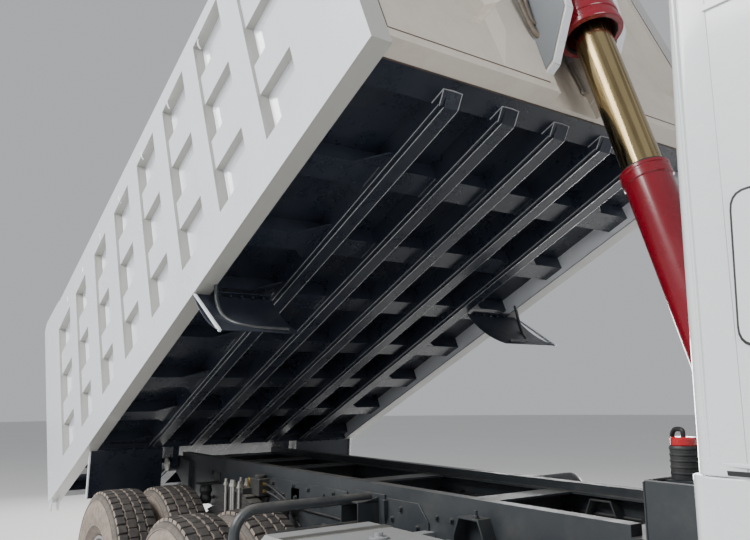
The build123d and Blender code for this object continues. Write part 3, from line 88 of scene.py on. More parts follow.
# Camera at the photograph's viewing angle, measured from the rearmost axle

yaw, pitch, roll = math.radians(34.79), math.radians(9.855), math.radians(-0.527)
ahead = Vector((-math.cos(yaw) * math.cos(pitch), math.sin(yaw) * math.cos(pitch), math.sin(pitch)))
level_right = ahead.cross(Vector((0, 0, 1))).normalized()
level_up = level_right.cross(ahead)
right = level_right * math.cos(roll) + level_up * math.sin(roll)
up = level_up * math.cos(roll) - level_right * math.sin(roll)
camera = bpy.data.objects.new("camera", bpy.data.cameras.new("camera"))
camera.matrix_world = Matrix.Translation((AXLE_X + 5.2, -2.5715, 1.735)) @ Matrix(
    (right, up, -ahead)).transposed().to_4x4()
camera.data.lens = 34.71
camera.data.sensor_width = 36
camera.data.clip_end = 200
bpy.context.scene.collection.objects.link(camera)
bpy.context.scene.camera = camera


# Shader arithmetic


class Reading:
    """A node's output; arithmetic on it adds Math nodes."""

    def __init__(self, finish, socket):
        self.finish, self.socket = finish, socket

    def maths(self, operation, *values):
        return self.finish.node("ShaderNodeMath", {"operation": operation}, dict(enumerate(values)))

    def __add__(self, other):
        return self.maths("ADD", self, other)

    def __sub__(self, other):
        return self.maths("SUBTRACT", self, other)

    def __rsub__(self, other):
        return self.maths("SUBTRACT", other, self)

    def __mul__(self, other):
        return self.maths("MULTIPLY", self, other)

    __radd__, __rmul__ = __add__, __mul__

    def between(self, low, high):
        """0 below low, 1 above high and a smooth step between them."""
        return self.finish.node("ShaderNodeMapRange", {"interpolation_type": "SMOOTHSTEP"},
                                {"Value": self, "From Min": low, "From Max": high})


class Finish:
    """One material and the nodes that make it."""

    def __init__(self, name, **constants):
        self.material = bpy.data.materials.new(name)
        self.material.use_nodes = True
        self.tree = self.material.node_tree
        self.shader = self.tree.nodes["Principled BSDF"]
        for socket, value in constants.items():
            self.put(self.shader, socket.replace("_", " "), value)
        self.place = self.node("ShaderNodeTexCoord", {}, {}, "Object")

    def put(self, node, socket, value):
        """Sets a socket's value or links a reading to it."""
        if isinstance(value, Reading):
            self.tree.links.new(value.socket, node.inputs[socket])
        else:
            node.inputs[socket].default_value = value

    def node(self, kind, settings, sockets, output=0):
        """One node: its settings first, then its sockets' values or links."""
        made = self.tree.nodes.new(kind)
        for name, value in settings.items():
            if name == "stops":
                for spare in list(made.color_ramp.elements)[len(value):]:
                    made.color_ramp.elements.remove(spare)
                for k, (position, colour) in enumerate(value):
                    stop = made.color_ramp.elements[k] if k < 2 else made.color_ramp.elements.new(position)
                    stop.position, stop.color = position, (*colour, 1)
            else:
                setattr(made, name, value)
        for name, value in sockets.items():
            self.put(made, name, value)
        return Reading(self, made.outputs[output])

    def stretched(self, x, y, z):
        """The surface's place with each axis scaled."""
        return self.node("ShaderNodeVectorMath", {"operation": "MULTIPLY"}, {0: self.place, 1: (x, y, z)})

    def noise(self, scale, detail=3, roughness=0.5, place=None):
        """Soft random patches, scale to the metre."""
        return self.node("ShaderNodeTexNoise", {}, {
            "Vector": place or self.place, "Scale": scale, "Detail": detail, "Roughness": roughness})

    def facing(self, name):
        """One part of the surface's outward direction in the world."""
        normal = self.node("ShaderNodeNewGeometry", {}, {}, "Normal")
        return self.node("ShaderNodeSeparateXYZ", {}, {0: normal}, name)

    def mixed(self, share, first, second):
        """A blend of two colours."""
        made = {"data_type": "RGBA"}
        colours = [value if isinstance(value, Reading) else (*value, 1) for value in (first, second)]
        return self.node("ShaderNodeMix", made, {0: share, 6: colours[0], 7: colours[1]}, 2)

    def bumpy(self, height, strength, distance):
        """Links a height to the shader's normal."""
        self.put(self.shader, "Normal", self.node("ShaderNodeBump", {}, {
            "Height": height, "Strength": strength, "Distance": distance}))

    def surface(self, **values):
        """Links what varies to the shader."""
        for socket, value in values.items():
            self.put(self.shader, socket.replace("_", " "), value)
        return self.material


def gloss_paint(name, colour, shade, dust, dust_share, coat=0.35, rough=0.24):
    """Sprayed gloss paint: slow colour drift, orange peel, thin dust and fine scuffs."""
    paint = Finish(name, Coat_Weight=coat, Coat_Roughness=0.08, IOR=1.5)
    drift = paint.noise(0.9, 4, 0.6)
    film = paint.noise(3.1, 6, 0.65).between(0.42, 0.75)
    runs = paint.noise(5, 5, 0.6, paint.stretched(1, 1, 0.16)).between(0.5, 0.8)
    base = paint.mixed(drift, colour, shade)
    dusty = paint.mixed(film * dust_share + runs * dust_share * 0.6, base, dust)
    scuffs = paint.noise(42, 8, 0.7).between(0.58, 0.8)
    paint.bumpy(paint.noise(260, 2), 0.05, 0.001)
    return paint.surface(Base_Color=dusty, Roughness=film * 0.16 + scuffs * 0.08 + rough)


def satin_paint(name, colour, shade, dust, dust_share, rough=0.42):
    """Brushed or dipped satin paint: uneven film, dust that lies on what faces up, fine grain."""
    paint = Finish(name, IOR=1.5)
    drift = paint.noise(1.7, 5, 0.6)
    patches = paint.noise(6.5, 7, 0.7).between(0.4, 0.8)
    lying = paint.facing("Z").between(0.15, 0.95) * paint.noise(9, 6, 0.7).between(0.25, 0.7)
    base = paint.mixed(drift, colour, shade)
    dusty = paint.mixed(lying * dust_share + patches * dust_share * 0.35, base, dust)
    grain = paint.noise(150, 4)
    paint.bumpy(grain + paint.noise(24, 4) * 0.8, 0.12, 0.002)
    return paint.surface(Base_Color=dusty, Roughness=patches * 0.14 + lying * 0.2 + rough)


DUST = (0.30, 0.27, 0.22)

finishes = {
    "bed_white": gloss_paint("bed_gloss_white", (0.80, 0.82, 0.85), (0.70, 0.73, 0.78), (0.55, 0.54, 0.52), 0.28),
    "bed_grey": satin_paint("bed_underside_navy_black", (0.010, 0.014, 0.024), (0.019, 0.025, 0.038),
                            (0.10, 0.10, 0.11), 0.22, 0.27),
    "bed_front_white": satin_paint("bed_front_dusty_white", (0.66, 0.61, 0.54), (0.54, 0.49, 0.42),
                                   (0.34, 0.28, 0.20), 0.55),
    "frame_grey": satin_paint("frame_dark_grey", (0.026, 0.031, 0.036), (0.045, 0.051, 0.057), DUST, 0.30, 0.30),
    "axle_black": satin_paint("axle_black", (0.020, 0.021, 0.023), (0.042, 0.042, 0.043), DUST, 0.4, 0.45),
    "engine_grey": satin_paint("engine_cast_grey", (0.10, 0.105, 0.11), (0.16, 0.165, 0.17), (0.08, 0.06, 0.04), 0.5,
                               0.5),
    "tank_grey": satin_paint("tank_grey", (0.32, 0.33, 0.34), (0.26, 0.27, 0.28), DUST, 0.35, 0.33),
    "hoist_red": gloss_paint("hoist_crimson_gloss", (0.26, 0.003, 0.014), (0.18, 0.002, 0.010), (0.22, 0.07, 0.07),
                             0.06,
                             0.4, 0.26),
    "cab_white": gloss_paint("cab_pearl_white", (0.82, 0.84, 0.85), (0.76, 0.79, 0.81), (0.62, 0.60, 0.56), 0.10, 0.6,
                             0.2),
    "rim": satin_paint("rim_silver", (0.30, 0.30, 0.30), (0.22, 0.22, 0.22), (0.30, 0.25, 0.20), 0.6, 0.4),
}


def pressed_side_paint():
    """The sides' gloss white, with painted shade: greyer and rougher where the pressings and edges turn away from the
    side.
    """
    paint = Finish("bed_side_gloss_white", Coat_Weight=0.5, Coat_Roughness=0.06, IOR=1.5)
    side = paint.facing("Y")
    # painted shade: faces that turn away from the side, the pressings' walls and edges, are mixed towards grey-beige
    painted_shade_where_turned_away = 1 - (side * side).between(0.25, 0.93)
    drift = paint.noise(0.9, 4, 0.6)
    film = paint.noise(3.1, 6, 0.65).between(0.42, 0.75)
    runs = paint.noise(5, 5, 0.6, paint.stretched(1, 1, 0.16)).between(0.5, 0.8)
    base = paint.mixed(drift, (0.84, 0.86, 0.90), (0.74, 0.77, 0.83))
    dusty = paint.mixed(film * 0.20 + runs * 0.12, base, (0.56, 0.56, 0.55))
    paint.bumpy(paint.noise(260, 2) + paint.noise(2.2, 3) * 3, 0.06, 0.002)
    return paint.surface(Base_Color=paint.mixed(painted_shade_where_turned_away * 0.9, dusty, (0.37, 0.365, 0.33)),
                         Roughness=film * 0.14 + painted_shade_where_turned_away * 0.2 + 0.18)


def stage_metal():
    """The honed stage: warm bronze steel with fine rings left by the wipers, a film of oil, and lengthwise streaks
    that are drawn lines in its bumps and painted reflections in its colour.
    """
    metal = Finish("stage_honed_bronze", Metallic=1.0)
    rings = metal.noise(90, 5, 0.7, metal.stretched(0.03, 0.03, 1))
    upright_place = metal.node("ShaderNodeVectorRotate", {"rotation_type": "Y_AXIS"},
                               {"Vector": metal.place, "Angle": HOIST_LEAN})
    lengthwise = metal.node("ShaderNodeVectorMath", {"operation": "MULTIPLY"}, {0: upright_place, 1: (1, 1, 0.01)})
    # lengthwise streaks: drawn lines in the bumps and roughness, painted reflections of upright lights in the colour
    drawn_lines_and_painted_reflections = metal.noise(60, 2, 0.4, lengthwise).between(0.42, 0.58)
    film = metal.noise(7, 5, 0.6, metal.stretched(1, 1, 0.12)).between(0.35, 0.75)
    colour = metal.mixed(film * 0.3 + drawn_lines_and_painted_reflections * 0.7, (0.56, 0.43, 0.22), (0.19, 0.14, 0.07))
    metal.bumpy(rings * 0.4 + drawn_lines_and_painted_reflections * 2, 0.08, 0.0006)
    return metal.surface(Base_Color=colour, Roughness=rings * 0.04 + drawn_lines_and_painted_reflections * 0.16 + 0.10)


def moulded_black(name, grains, clean=(0.020, 0.021, 0.022), dusty=(0.060, 0.058, 0.055)):
    """Grained black plastic or rubber, greyer where it is dusty."""
    plastic = Finish(name, IOR=1.46)
    grain = plastic.noise(grains, 3)
    dust = plastic.noise(8, 6, 0.65).between(0.4, 0.8)
    plastic.bumpy(grain, 0.25, 0.0006)
    return plastic.surface(Base_Color=plastic.mixed(dust, clean, dusty), Roughness=dust * 0.2 + 0.5)


def tinted_glass():
    """Clear cab glass with a faint green tint and smears."""
    glass = Finish("cab_tinted_glass", IOR=1.5, Transmission_Weight=1.0)
    smear = glass.noise(5, 6, 0.7, glass.stretched(1, 1, 0.3)).between(0.45, 0.8)
    return glass.surface(Base_Color=glass.mixed(smear, (0.78, 0.86, 0.84), (0.70, 0.75, 0.73)),
                         Roughness=smear * 0.08 + 0.02)


def tyre_rubber():
    """Tyre rubber: black tread, its blocks' tops and the side walls pale with dry dust."""
    rubber = Finish("tyre_rubber_dusty", IOR=1.45)
    clods = rubber.noise(16, 8, 0.75).between(0.3, 0.7)
    side = rubber.facing("Y")
    side = (side * side).between(0.35, 0.9)
    base = rubber.mixed(rubber.noise(60, 5), (0.018, 0.018, 0.019), (0.040, 0.038, 0.036))
    dusty = rubber.mixed(side * (clods * 0.35 + 0.5) + clods * 0.16, base, (0.34, 0.28, 0.23))
    rubber.bumpy(rubber.noise(240, 5, 0.7), 0.3, 0.0012)
    return rubber.surface(Base_Color=dusty, Roughness=clods * 0.12 + 0.72)


def bright_steel(name, colour, rough):
    """Bare or plated steel with fine scratches and a little rust in its corners."""
    steel = Finish(name, Metallic=0.9)
    scratches = steel.noise(180, 6, 0.7, steel.stretched(1, 0.2, 1))
    rust = steel.noise(30, 8, 0.75).between(0.62, 0.8)
    steel.bumpy(scratches, 0.08, 0.0005)
    return steel.surface(Base_Color=steel.mixed(rust, colour, (0.20, 0.09, 0.04)),
                         Roughness=scratches * 0.2 + rust * 0.3 + rough)


def woven_cloth():
    """Dark grey seat cloth: crossed ribs of yarn with a slow colour drift."""
    cloth = Finish("seat_cloth_grey", IOR=1.4)
    weave = {"bands_direction": "Y"}
    warp = cloth.node("ShaderNodeTexWave", weave, {"Vector": cloth.place, "Scale": 120, "Distortion": 0.6})
    weft = cloth.node("ShaderNodeTexWave", {"bands_direction": "Z"}, {"Vector": cloth.place, "Scale": 120})
    yarn = warp * 0.5 + weft * 0.5
    cloth.bumpy(yarn, 0.35, 0.0012)
    worn = cloth.noise(6, 5, 0.6)
    base = cloth.mixed(worn, (0.050, 0.054, 0.062), (0.085, 0.088, 0.094))
    return cloth.surface(Base_Color=cloth.mixed(yarn * 0.5, base, (0.13, 0.13, 0.14)), Roughness=yarn * 0.1 + 0.8)


def lens(name, colour):
    """A moulded lamp lens with close flutes."""
    moulding = Finish(name, IOR=1.49, Coat_Weight=0.6)
    flutes = moulding.node("ShaderNodeTexWave", {"bands_direction": "Y"}, {"Vector": moulding.place, "Scale": 60})
    moulding.bumpy(flutes, 0.3, 0.001)
    shade = tuple(part * 0.6 for part in colour)
    return moulding.surface(Base_Color=moulding.mixed(flutes, colour, shade), Roughness=flutes * 0.1 + 0.12)


finishes.update({
    "bed_side_white": pressed_side_paint(),
    "stage_gold": stage_metal(),
    "cab_black": moulded_black("moulded_black_plastic", 420),
    "glass": tinted_glass(),
    "tyre": tyre_rubber(),
    "zinc": bright_steel("plated_bolt_steel", (0.55, 0.54, 0.50), 0.28),
    "chrome": bright_steel("mirror_chrome", (0.75, 0.76, 0.78), 0.04),
    "red_lens": lens("red_lamp_lens", (0.42, 0.010, 0.012)),
    "amber_lens": lens("amber_lamp_lens", (0.60, 0.18, 0.01)),
    "clear_lens": lens("clear_lamp_lens", (0.70, 0.72, 0.74)),
    "hose": moulded_black("braided_hose_black", 90),
    "dusty_hose": moulded_black("dusty_oil_hose", 140, (0.10, 0.08, 0.06), (0.30, 0.24, 0.18)),
    "cheek_grey": satin_paint("bracket_primer_grey", (0.20, 0.22, 0.235), (0.13, 0.145, 0.16), (0.24, 0.20, 0.15),
                              0.45),
    "brass": bright_steel("passivated_brass", (0.46, 0.33, 0.10), 0.25),
    "cloth": woven_cloth(),
    # weld seam grey, also used for the painted highlights along the beams' edges
    "seam_grey_and_edge_highlight": gloss_paint("weld_seam_and_edge_highlight_grey", (0.30, 0.31, 0.33), (0.20, 0.21, 0.23), (0.30, 0.28, 0.26), 0.3),
    "rust": satin_paint("scale_brown_seam", (0.16, 0.11, 0.08), (0.09, 0.07, 0.06), (0.30, 0.24, 0.18), 0.5, 0.55),
    "can_red": gloss_paint("can_cap_red", (0.50, 0.010, 0.016), (0.42, 0.008, 0.014), (0.30, 0.12, 0.10), 0.15),
})


# The floor and the light


def concrete():
    """A pale, plain sealed floor."""
    floor = Finish("pale_floor", IOR=1.45)
    patches = floor.noise(0.35, 5, 0.6)
    fine = floor.noise(14, 6, 0.7)
    floor.bumpy(fine, 0.05, 0.002)
    return floor.surface(Base_Color=floor.mixed(patches, (0.68, 0.67, 0.65), (0.61, 0.60, 0.58)),
                         Roughness=fine * 0.2 + 0.5)


def add_floor():
    """A round pale floor."""
    mesh = bpy.data.meshes.new("floor")
    rim = [(60 * math.cos(a), 60 * math.sin(a), 0) for a in (2 * math.pi * k / 96 for k in range(96))]
    mesh.from_pydata(rim, [], [tuple(range(96))])
    floor = bpy.data.objects.new("floor", mesh)
    mesh.materials.append(concrete())
    bpy.context.scene.collection.objects.link(floor)


def add_light(name, place, aim, size, power, colour=(1, 1, 1)):
    """A soft rectangular light that faces a point."""
    lamp = bpy.data.lights.new(name, "AREA")
    lamp.shape, lamp.size, lamp.size_y = "RECTANGLE", size[0], size[1]
    lamp.energy, lamp.color = power, colour
    light = bpy.data.objects.new(name, lamp)
    light.location = place
    light.rotation_euler = (Vector(aim) - Vector(place)).to_track_quat("-Z", "Y").to_euler()
    bpy.context.scene.collection.objects.link(light)


add_floor()
world = bpy.data.worlds.new("studio")
bpy.context.scene.world = world
world.use_nodes = True
world.node_tree.nodes["Background"].inputs["Color"].default_value = (0.86, 0.89, 0.93, 1)
world.node_tree.nodes["Background"].inputs["Strength"].default_value = 0.56
add_light("right_softbox", (-2.5, -9, 9), (-1, -0.5, 2), (9, 4), 1900)
add_light("front_softbox", (10.5, -2, 5), (1.5, 0, 2.2), (5, 4), 420)
add_light("rear_softbox", (-10, 2, 5), (0, 0, 2), (6, 4), 600)
add_light("left_softbox", (-3, 9, 1.5), (0, 0, 2.6), (10, 2.4), 900)


# Shapes of mesh pieces


class Shape:
    """A mesh built up from simple closed forms in one place's own axes."""

    def __init__(self):
        self.mesh = bmesh.new()

    def ring(self, points):
        return [self.mesh.verts.new(point) for point in points]

    def skin(self, rings, closed=False, caps=True):
        """Faces between rings of points; closed joins the last ring to the first."""
        rows = [self.ring(points) for points in rings]
        pairs = list(zip(rows, rows[1:])) + ([(rows[-1], rows[0])] if closed else [])
        for row, following in pairs:
            for k in range(len(row)):
                after = (k + 1) % len(row)
                self.mesh.faces.new((row[k], row[after], following[after], following[k]))
        if caps and not closed:
            self.mesh.faces.new(list(reversed(rows[0])))
            self.mesh.faces.new(rows[-1])
        return self

    def block(self, x0, x1, y0, y1, z0, z1):
        return self.plate(oblong(x0, x1, y0, y1), z0, z1, "Z")

    def plate(self, outline, low, high, axis="Y"):
        """A flat outline, thick along one axis; points are the other two coordinates in order."""
        def lift(point, level):
            a, b = point
            return {"X": (level, a, b), "Y": (a, level, b), "Z": (a, b, level)}[axis]
        return self.skin([[lift(point, level) for point in outline] for level in (low, high)])

    def rod(self, start, end, radius, sides=20, end_radius=None):
        """A round rod between two points."""
        start, end = Vector(start), Vector(end)
        turn = (end - start).to_track_quat("Z", "Y").to_matrix()
        rings = []
        for point, r in ((start, radius), (end, radius if end_radius is None else end_radius)):
            rings.append([point + turn @ Vector((r * math.cos(a), r * math.sin(a), 0)) for a in turns(sides)])
        return self.skin(rings)

    def turned(self, profile, place, sides=48, closed=True):
        """A (radius, along) profile turned about a place's Z axis."""
        rings = []
        for radius, along in profile:
            rings.append([place @ Vector((radius * math.cos(a), radius * math.sin(a), along)) for a in turns(sides)])
        return self.skin(rings, closed)

    def pipe(self, points, radius, sides=14, steps=8):
        """A round pipe along a smooth line through its points."""
        line = smooth_line([Vector(point) for point in points], steps)
        rings, normal = [], None
        for k, point in enumerate(line):
            along = (line[min(k + 1, len(line) - 1)] - line[max(k - 1, 0)]).normalized()
            if normal is None:
                normal = along.orthogonal().normalized()
            normal = (normal - along * normal.dot(along)).normalized()
            side = along.cross(normal)
            rings.append([point + (normal * math.cos(a) + side * math.sin(a)) * radius for a in turns(sides)])
        return self.skin(rings)

    def nut(self, place, direction, size, height):
        """A six-sided head on a washer, with its chamfered crown."""
        place, direction = Vector(place), Vector(direction).normalized()
        self.rod(place, place + direction * height * 0.22, size * 1.25, 14)
        self.rod(place + direction * height * 0.22, place + direction * height, size, 6, size * 0.9)
        return self

    def nuts(self, place, count, radius, level, *sizes):
        """A ring of nuts round a place's Z axis; sizes as for one nut."""
        for a in turns(count):
            self.nut(place @ Vector((radius * math.cos(a), radius * math.sin(a), level)), *sizes)

    def border(self, corners, width, depth, normal):
        """A closed strip inside a flat outline's edge, raised from it along the normal."""
        corners, normal = [Vector(corner) for corner in corners], Vector(normal).normalized()
        rings = []
        for k, corner in enumerate(corners):
            into = (corner - corners[k - 1]).normalized()
            out = (corners[(k + 1) % len(corners)] - corner).normalized()
            inward = (normal.cross(into) + normal.cross(out)) * (width / (1 + into.dot(out)))
            lifted = normal * depth
            rings.append([corner, corner + inward, corner + inward + lifted, corner + lifted])
        return self.skin(rings, closed=True)

    def mirrored(self):
        """Adds the same forms on the other side of the truck."""
        made = bmesh.ops.duplicate(self.mesh, geom=self.mesh.verts[:] + self.mesh.edges[:] + self.mesh.faces[:])
        verts = [item for item in made["geom"] if isinstance(item, bmesh.types.BMVert)]
        faces = [item for item in made["geom"] if isinstance(item, bmesh.types.BMFace)]
        for vert in verts:
            vert.co.y = -vert.co.y
        bmesh.ops.reverse_faces(self.mesh, faces=faces)
        return self

    def mirrored_only(self):
        """Moves the forms to the other side of the truck."""
        for vert in self.mesh.verts:
            vert.co.y = -vert.co.y
        bmesh.ops.reverse_faces(self.mesh, faces=self.mesh.faces[:])
        return self

    def data(self, name, sharp=35):
        """The finished mesh, shaded smooth up to an angle."""
        bmesh.ops.recalc_face_normals(self.mesh, faces=self.mesh.faces[:])
        data = bpy.data.meshes.new(name)
        self.mesh.to_mesh(data)
        self.mesh.free()
        data.polygons.foreach_set("use_smooth", [True] * len(data.polygons))
        data.set_sharp_from_angle(angle=math.radians(sharp))
        return data


def turns(count):
    return [2 * math.pi * (k + 0.5) / count for k in range(count)]


def oblong(left, right, low, high):
    """The corners of an upright four-sided outline."""
    return [(left, low), (right, low), (right, high), (left, high)]


def facing_x(x, y, z, turn=1):
    """A place whose Z axis points forward, or rearward with turn -1."""
    return Matrix.Translation((x, y, z)) @ Matrix.Rotation(turn * math.pi / 2, 4, "Y")


def facing_y(x, y, z):
    """A place whose Z axis points to the left."""
    return Matrix.Translation((x, y, z)) @ Matrix.Rotation(-math.pi / 2, 4, "X")


def rounded(corners, radius, steps=5):
    """A flat outline with its corners rounded."""
    outline = []
    for k, (a, b) in enumerate(corners):
        corner = Vector((a, b))
        back, ahead_of = Vector(corners[k - 1]) - corner, Vector(corners[(k + 1) % len(corners)]) - corner
        start, end = corner + back.normalized() * radius, corner + ahead_of.normalized() * radius
        for step in range(steps + 1):
            t = step / steps
            outline.append(tuple(start * (1 - t) ** 2 + corner * (2 * t * (1 - t)) + end * t * t))
    return outline


def smooth_line(points, steps):
    """Points along a smooth line through the given ones."""
    if len(points) == 2:
        return points
    ends = [2 * points[0] - points[1]] + points + [2 * points[-1] - points[-2]]
    line = []
    for k in range(1, len(ends) - 2):
        p0, p1, p2, p3 = ends[k - 1:k + 3]
        for step in range(steps):
            t = step / steps
            line.append(0.5 * (2 * p1 + (p2 - p0) * t + (2 * p0 - 5 * p1 + 4 * p2 - p3) * t * t
                               + (3 * p1 - p0 - 3 * p2 + p3) * t ** 3))
    return line + [points[-1]]


def bevelled(item, width, segments=2, angle=30):
    """Rounds a piece's sharp edges."""
    rounding = item.modifiers.new("rounded_edges", "BEVEL")
    rounding.width, rounding.segments = width, segments
    rounding.limit_method, rounding.angle_limit = "ANGLE", math.radians(angle)
    rounding.use_clamp_overlap = True
    return item


PLACES = {"bed": bed_place, "tailgate": bed_place, "hoist_base": hoist_place, "hoist_cover": hoist_place}


def add(name, shape, body, finish, slot=None, edge=0.0, replaces=(), sharp=35, place=None):
    """A new piece: its mesh, body and finish; the slot argument is not used."""
    slot = slot or finish
    data = shape.data(name, sharp) if isinstance(shape, Shape) else shape
    item = bpy.data.objects.new(name, data)
    if not data.materials:
        data.materials.append(finishes[finish])
    item.matrix_world = place or PLACES.get(body, chassis_place)
    bpy.context.scene.collection.objects.link(item)
    if edge:
        bevelled(item, edge)
    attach(item, body)
    if replaces:
        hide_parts(*replaces)
    return item


# The CAD nodes that stay: their finishes and softened edges

EDGES = {"bed_side_left": 0.006, "bed_side_right": 0.006, "bed_front": 0.006, "bed_floor": 0.004, "tailgate": 0.005,
         "cab_body": 0.012, "cab_front": 0.02, "cab_floor": 0.006, "door_left": 0.006, "door_right": 0.006,
         "front_bumper": 0.012, "frame_rails": 0.003, "fuel_tank": 0.006, "hoist_box": 0.003, "crossmembers": 0.003}
slots = {part["node"]: part["material_slot"] for part in frame["record"]["subparts"]}
for name, item in frame["nodes"].items():
    item.data.materials.clear()
    item.data.materials.append(finishes["bed_side_white" if name.startswith("bed_side") else slots[name]])
    if name in EDGES:
        bevelled(item, EDGES[name])


# Wheels

TYRE_R, SIDE_HALF, BEAD_R = 0.56, 0.1575, 0.2615
PITCHES = 52
GROOVE = 0.016


def tyre_shape(shape, middle_y):
    """One tyre about the Y axis: its carcass and four rows of tread blocks with zigzag grooves."""
    turn = facing_y(0, middle_y, 0)
    floor = TYRE_R - GROOVE
    half = [(BEAD_R + 0.002, 0.100), (BEAD_R + 0.014, 0.108), (0.300, 0.128), (0.335, 0.146), (0.338, 0.149),
            (0.344, 0.149), (0.347, 0.147), (0.390, 0.156), (0.425, SIDE_HALF), (0.460, 0.154), (0.494, 0.145),
            (0.497, 0.148), (0.503, 0.147), (0.506, 0.143), (0.530, 0.132), (floor, 0.112)]
    profile = [(r, -along) for r, along in half] + [(floor, 0)] + [(r, along) for r, along in reversed(half)]
    shape.turned(profile, turn, 72)
    step = 2 * math.pi / PITCHES
    zig = 0.007
    lines = [-0.121, -0.060, 0.0, 0.060, 0.121]
    for row in range(4):
        outer_row = row in (0, 3)
        gap = 0.014 if outer_row else 0.006
        low, high = lines[row], lines[row + 1]
        low += 0 if row == 0 else 0.005
        high -= 0 if row == 3 else 0.005
        shift = step * (0.5 if row in (1, 3) else 0.0)
        for k in range(PITCHES):
            start = k * step + shift + gap / 2 / TYRE_R
            end = (k + 1) * step + shift - gap / 2 / TYRE_R
            halfway = (start + end) / 2
            tip = zig if row % 2 else -zig
            low_tip = 0 if row == 0 else tip
            high_tip = 0 if row == 3 else -tip
            outline = [(start, low), (halfway, low + low_tip), (end, low), (end, high),
                       (halfway, high + high_tip), (start, high)]
            block_rings = []
            for level, inset in ((floor - 0.004, -0.002), (TYRE_R - 0.0025, 0.0), (TYRE_R - 0.0002, 0.0025)):
                ring = []
                for angle, across in outline:
                    inward = 1 if across > (low + high) / 2 else -1
                    sideways = 1 if angle > halfway else -1 if angle < halfway else 0
                    y = across - inward * inset
                    crown = 0.011 * max(0.0, (abs(y) - 0.095) / 0.03) ** 2
                    radius = level - crown
                    spot = angle - sideways * inset / TYRE_R
                    ring.append((radius * math.cos(spot), middle_y + y, radius * math.sin(spot)))
                block_rings.append(ring)
            shape.skin(block_rings)
    return shape


def rim_barrel(shape, turn, low, high):
    """A rim's barrel with rolled flanges, between two ends along the axle."""
    seat, wall = BEAD_R - 0.001, 0.010
    drop = (low + high) / 2
    outer = [(seat + 0.010, low - 0.014), (seat + 0.010, low - 0.006), (seat - 0.002, low + 0.004),
             (seat - 0.004, low + 0.040), (seat - 0.022, drop - 0.030), (seat - 0.022, drop + 0.030),
             (seat - 0.004, high - 0.040), (seat - 0.002, high - 0.004), (seat + 0.010, high + 0.006),
             (seat + 0.010, high + 0.014)]
    inner = [(r - wall, along) for r, along in reversed(outer[2:-2])]
    shape.turned(outer + [(seat - 0.006, high + 0.012)] + inner + [(seat - 0.006, low - 0.012)], turn, 60)


def rim_disc(shape, turn, flange, rim_face, nuts_out):
    """A wheel disc from the hub flange out to the barrel, with hand holes, nuts and studs."""
    r_out, thick = BEAD_R - 0.012, 0.014
    sides, holes = 60, 10
    radii = [0.168, 0.190, 0.205, 0.228, r_out]
    rows = []
    for r in radii:
        t = (r - radii[0]) / (r_out - radii[0])
        along = flange + (rim_face - flange) * t * t * (3 - 2 * t)
        rows.append((r, along))
    front = [[shape.mesh.verts.new(turn @ Vector((r * math.cos(a), r * math.sin(a),
                                                  along + thick))) for a in turns(sides)]
             for r, along in [(0.086, flange)] + rows]
    back = [[shape.mesh.verts.new(turn @ Vector((r * math.cos(a), r * math.sin(a), along))) for a in turns(sides)]
            for r, along in [(0.086, flange)] + rows]
    for i in range(len(front) - 1):
        for k in range(sides):
            after = (k + 1) % sides
            hole = i == 3 and k % (sides // holes) in (2, 3)
            if hole:
                ring_front = [front[i][k], front[i][after], front[i + 1][after], front[i + 1][k]]
                ring_back = [back[i][k], back[i][after], back[i + 1][after], back[i + 1][k]]
                first, last = k % (sides // holes) == 2, k % (sides // holes) == 3
                edges = [(0, 1), (2, 3)] + ([(3, 0)] if first else []) + ([(1, 2)] if last else [])
                for a, b in edges:
                    shape.mesh.faces.new((ring_front[a], ring_front[b], ring_back[b], ring_back[a]))
            else:
                shape.mesh.faces.new((front[i][k], front[i][after], front[i + 1][after], front[i + 1][k]))
                shape.mesh.faces.new((back[i][after], back[i][k], back[i + 1][k], back[i + 1][after]))
    for k in range(sides):
        after = (k + 1) % sides
        shape.mesh.faces.new((front[0][after], front[0][k], back[0][k], back[0][after]))
        shape.mesh.faces.new((front[-1][k], front[-1][after], back[-1][after], back[-1][k]))
    out = turn.to_3x3() @ Vector((0, 0, nuts_out))
    for a in turns(10):
        level = flange + (thick if nuts_out > 0 else 0)
        spot = turn @ Vector((0.1425 * math.cos(a), 0.1425 * math.sin(a), level))
        shape.nut(spot, out, 0.017, 0.026)
        shape.rod(spot, spot + out * 0.040, 0.010, 10)


def hub_shape(shape, turn, profile):
    """The hub and brake drum as one turned form."""
    shape.turned(profile, turn, 48)


SPACING = 0.175
DRUM = 0.145


def twin_wheel(shape):
    """Both rims, discs, hub and drum of a twin wheel on the left side, its middle at y = 0."""
    turn = Matrix.Rotation(-math.pi / 2, 4, "X")
    for middle_y in (-SPACING, SPACING):
        rim_barrel(shape, turn, middle_y - 0.104, middle_y + 0.104)
    rim_disc(shape, turn, 0.004, 0.100, 1)
    rim_disc(shape, turn, -0.016, -0.110, 1)
    bore = 0.0512
    hub_shape(shape, turn, [(0.205, -SPACING + 0.02), (0.205, -SPACING - DRUM), (bore, -SPACING - DRUM),
                            (bore, SPACING - 0.012), (0.060, SPACING - 0.010), (0.088, SPACING - 0.014),
                            (0.094, SPACING - 0.026), (0.094, 0.030), (0.112, 0.020), (0.165, 0.004),
                            (0.168, -0.016)])
    for a in turns(8):
        spot = turn @ Vector((0.076 * math.cos(a), 0.076 * math.sin(a), SPACING - 0.013))
        shape.nut(spot, (0, 1, 0), 0.009, 0.011)
    return shape


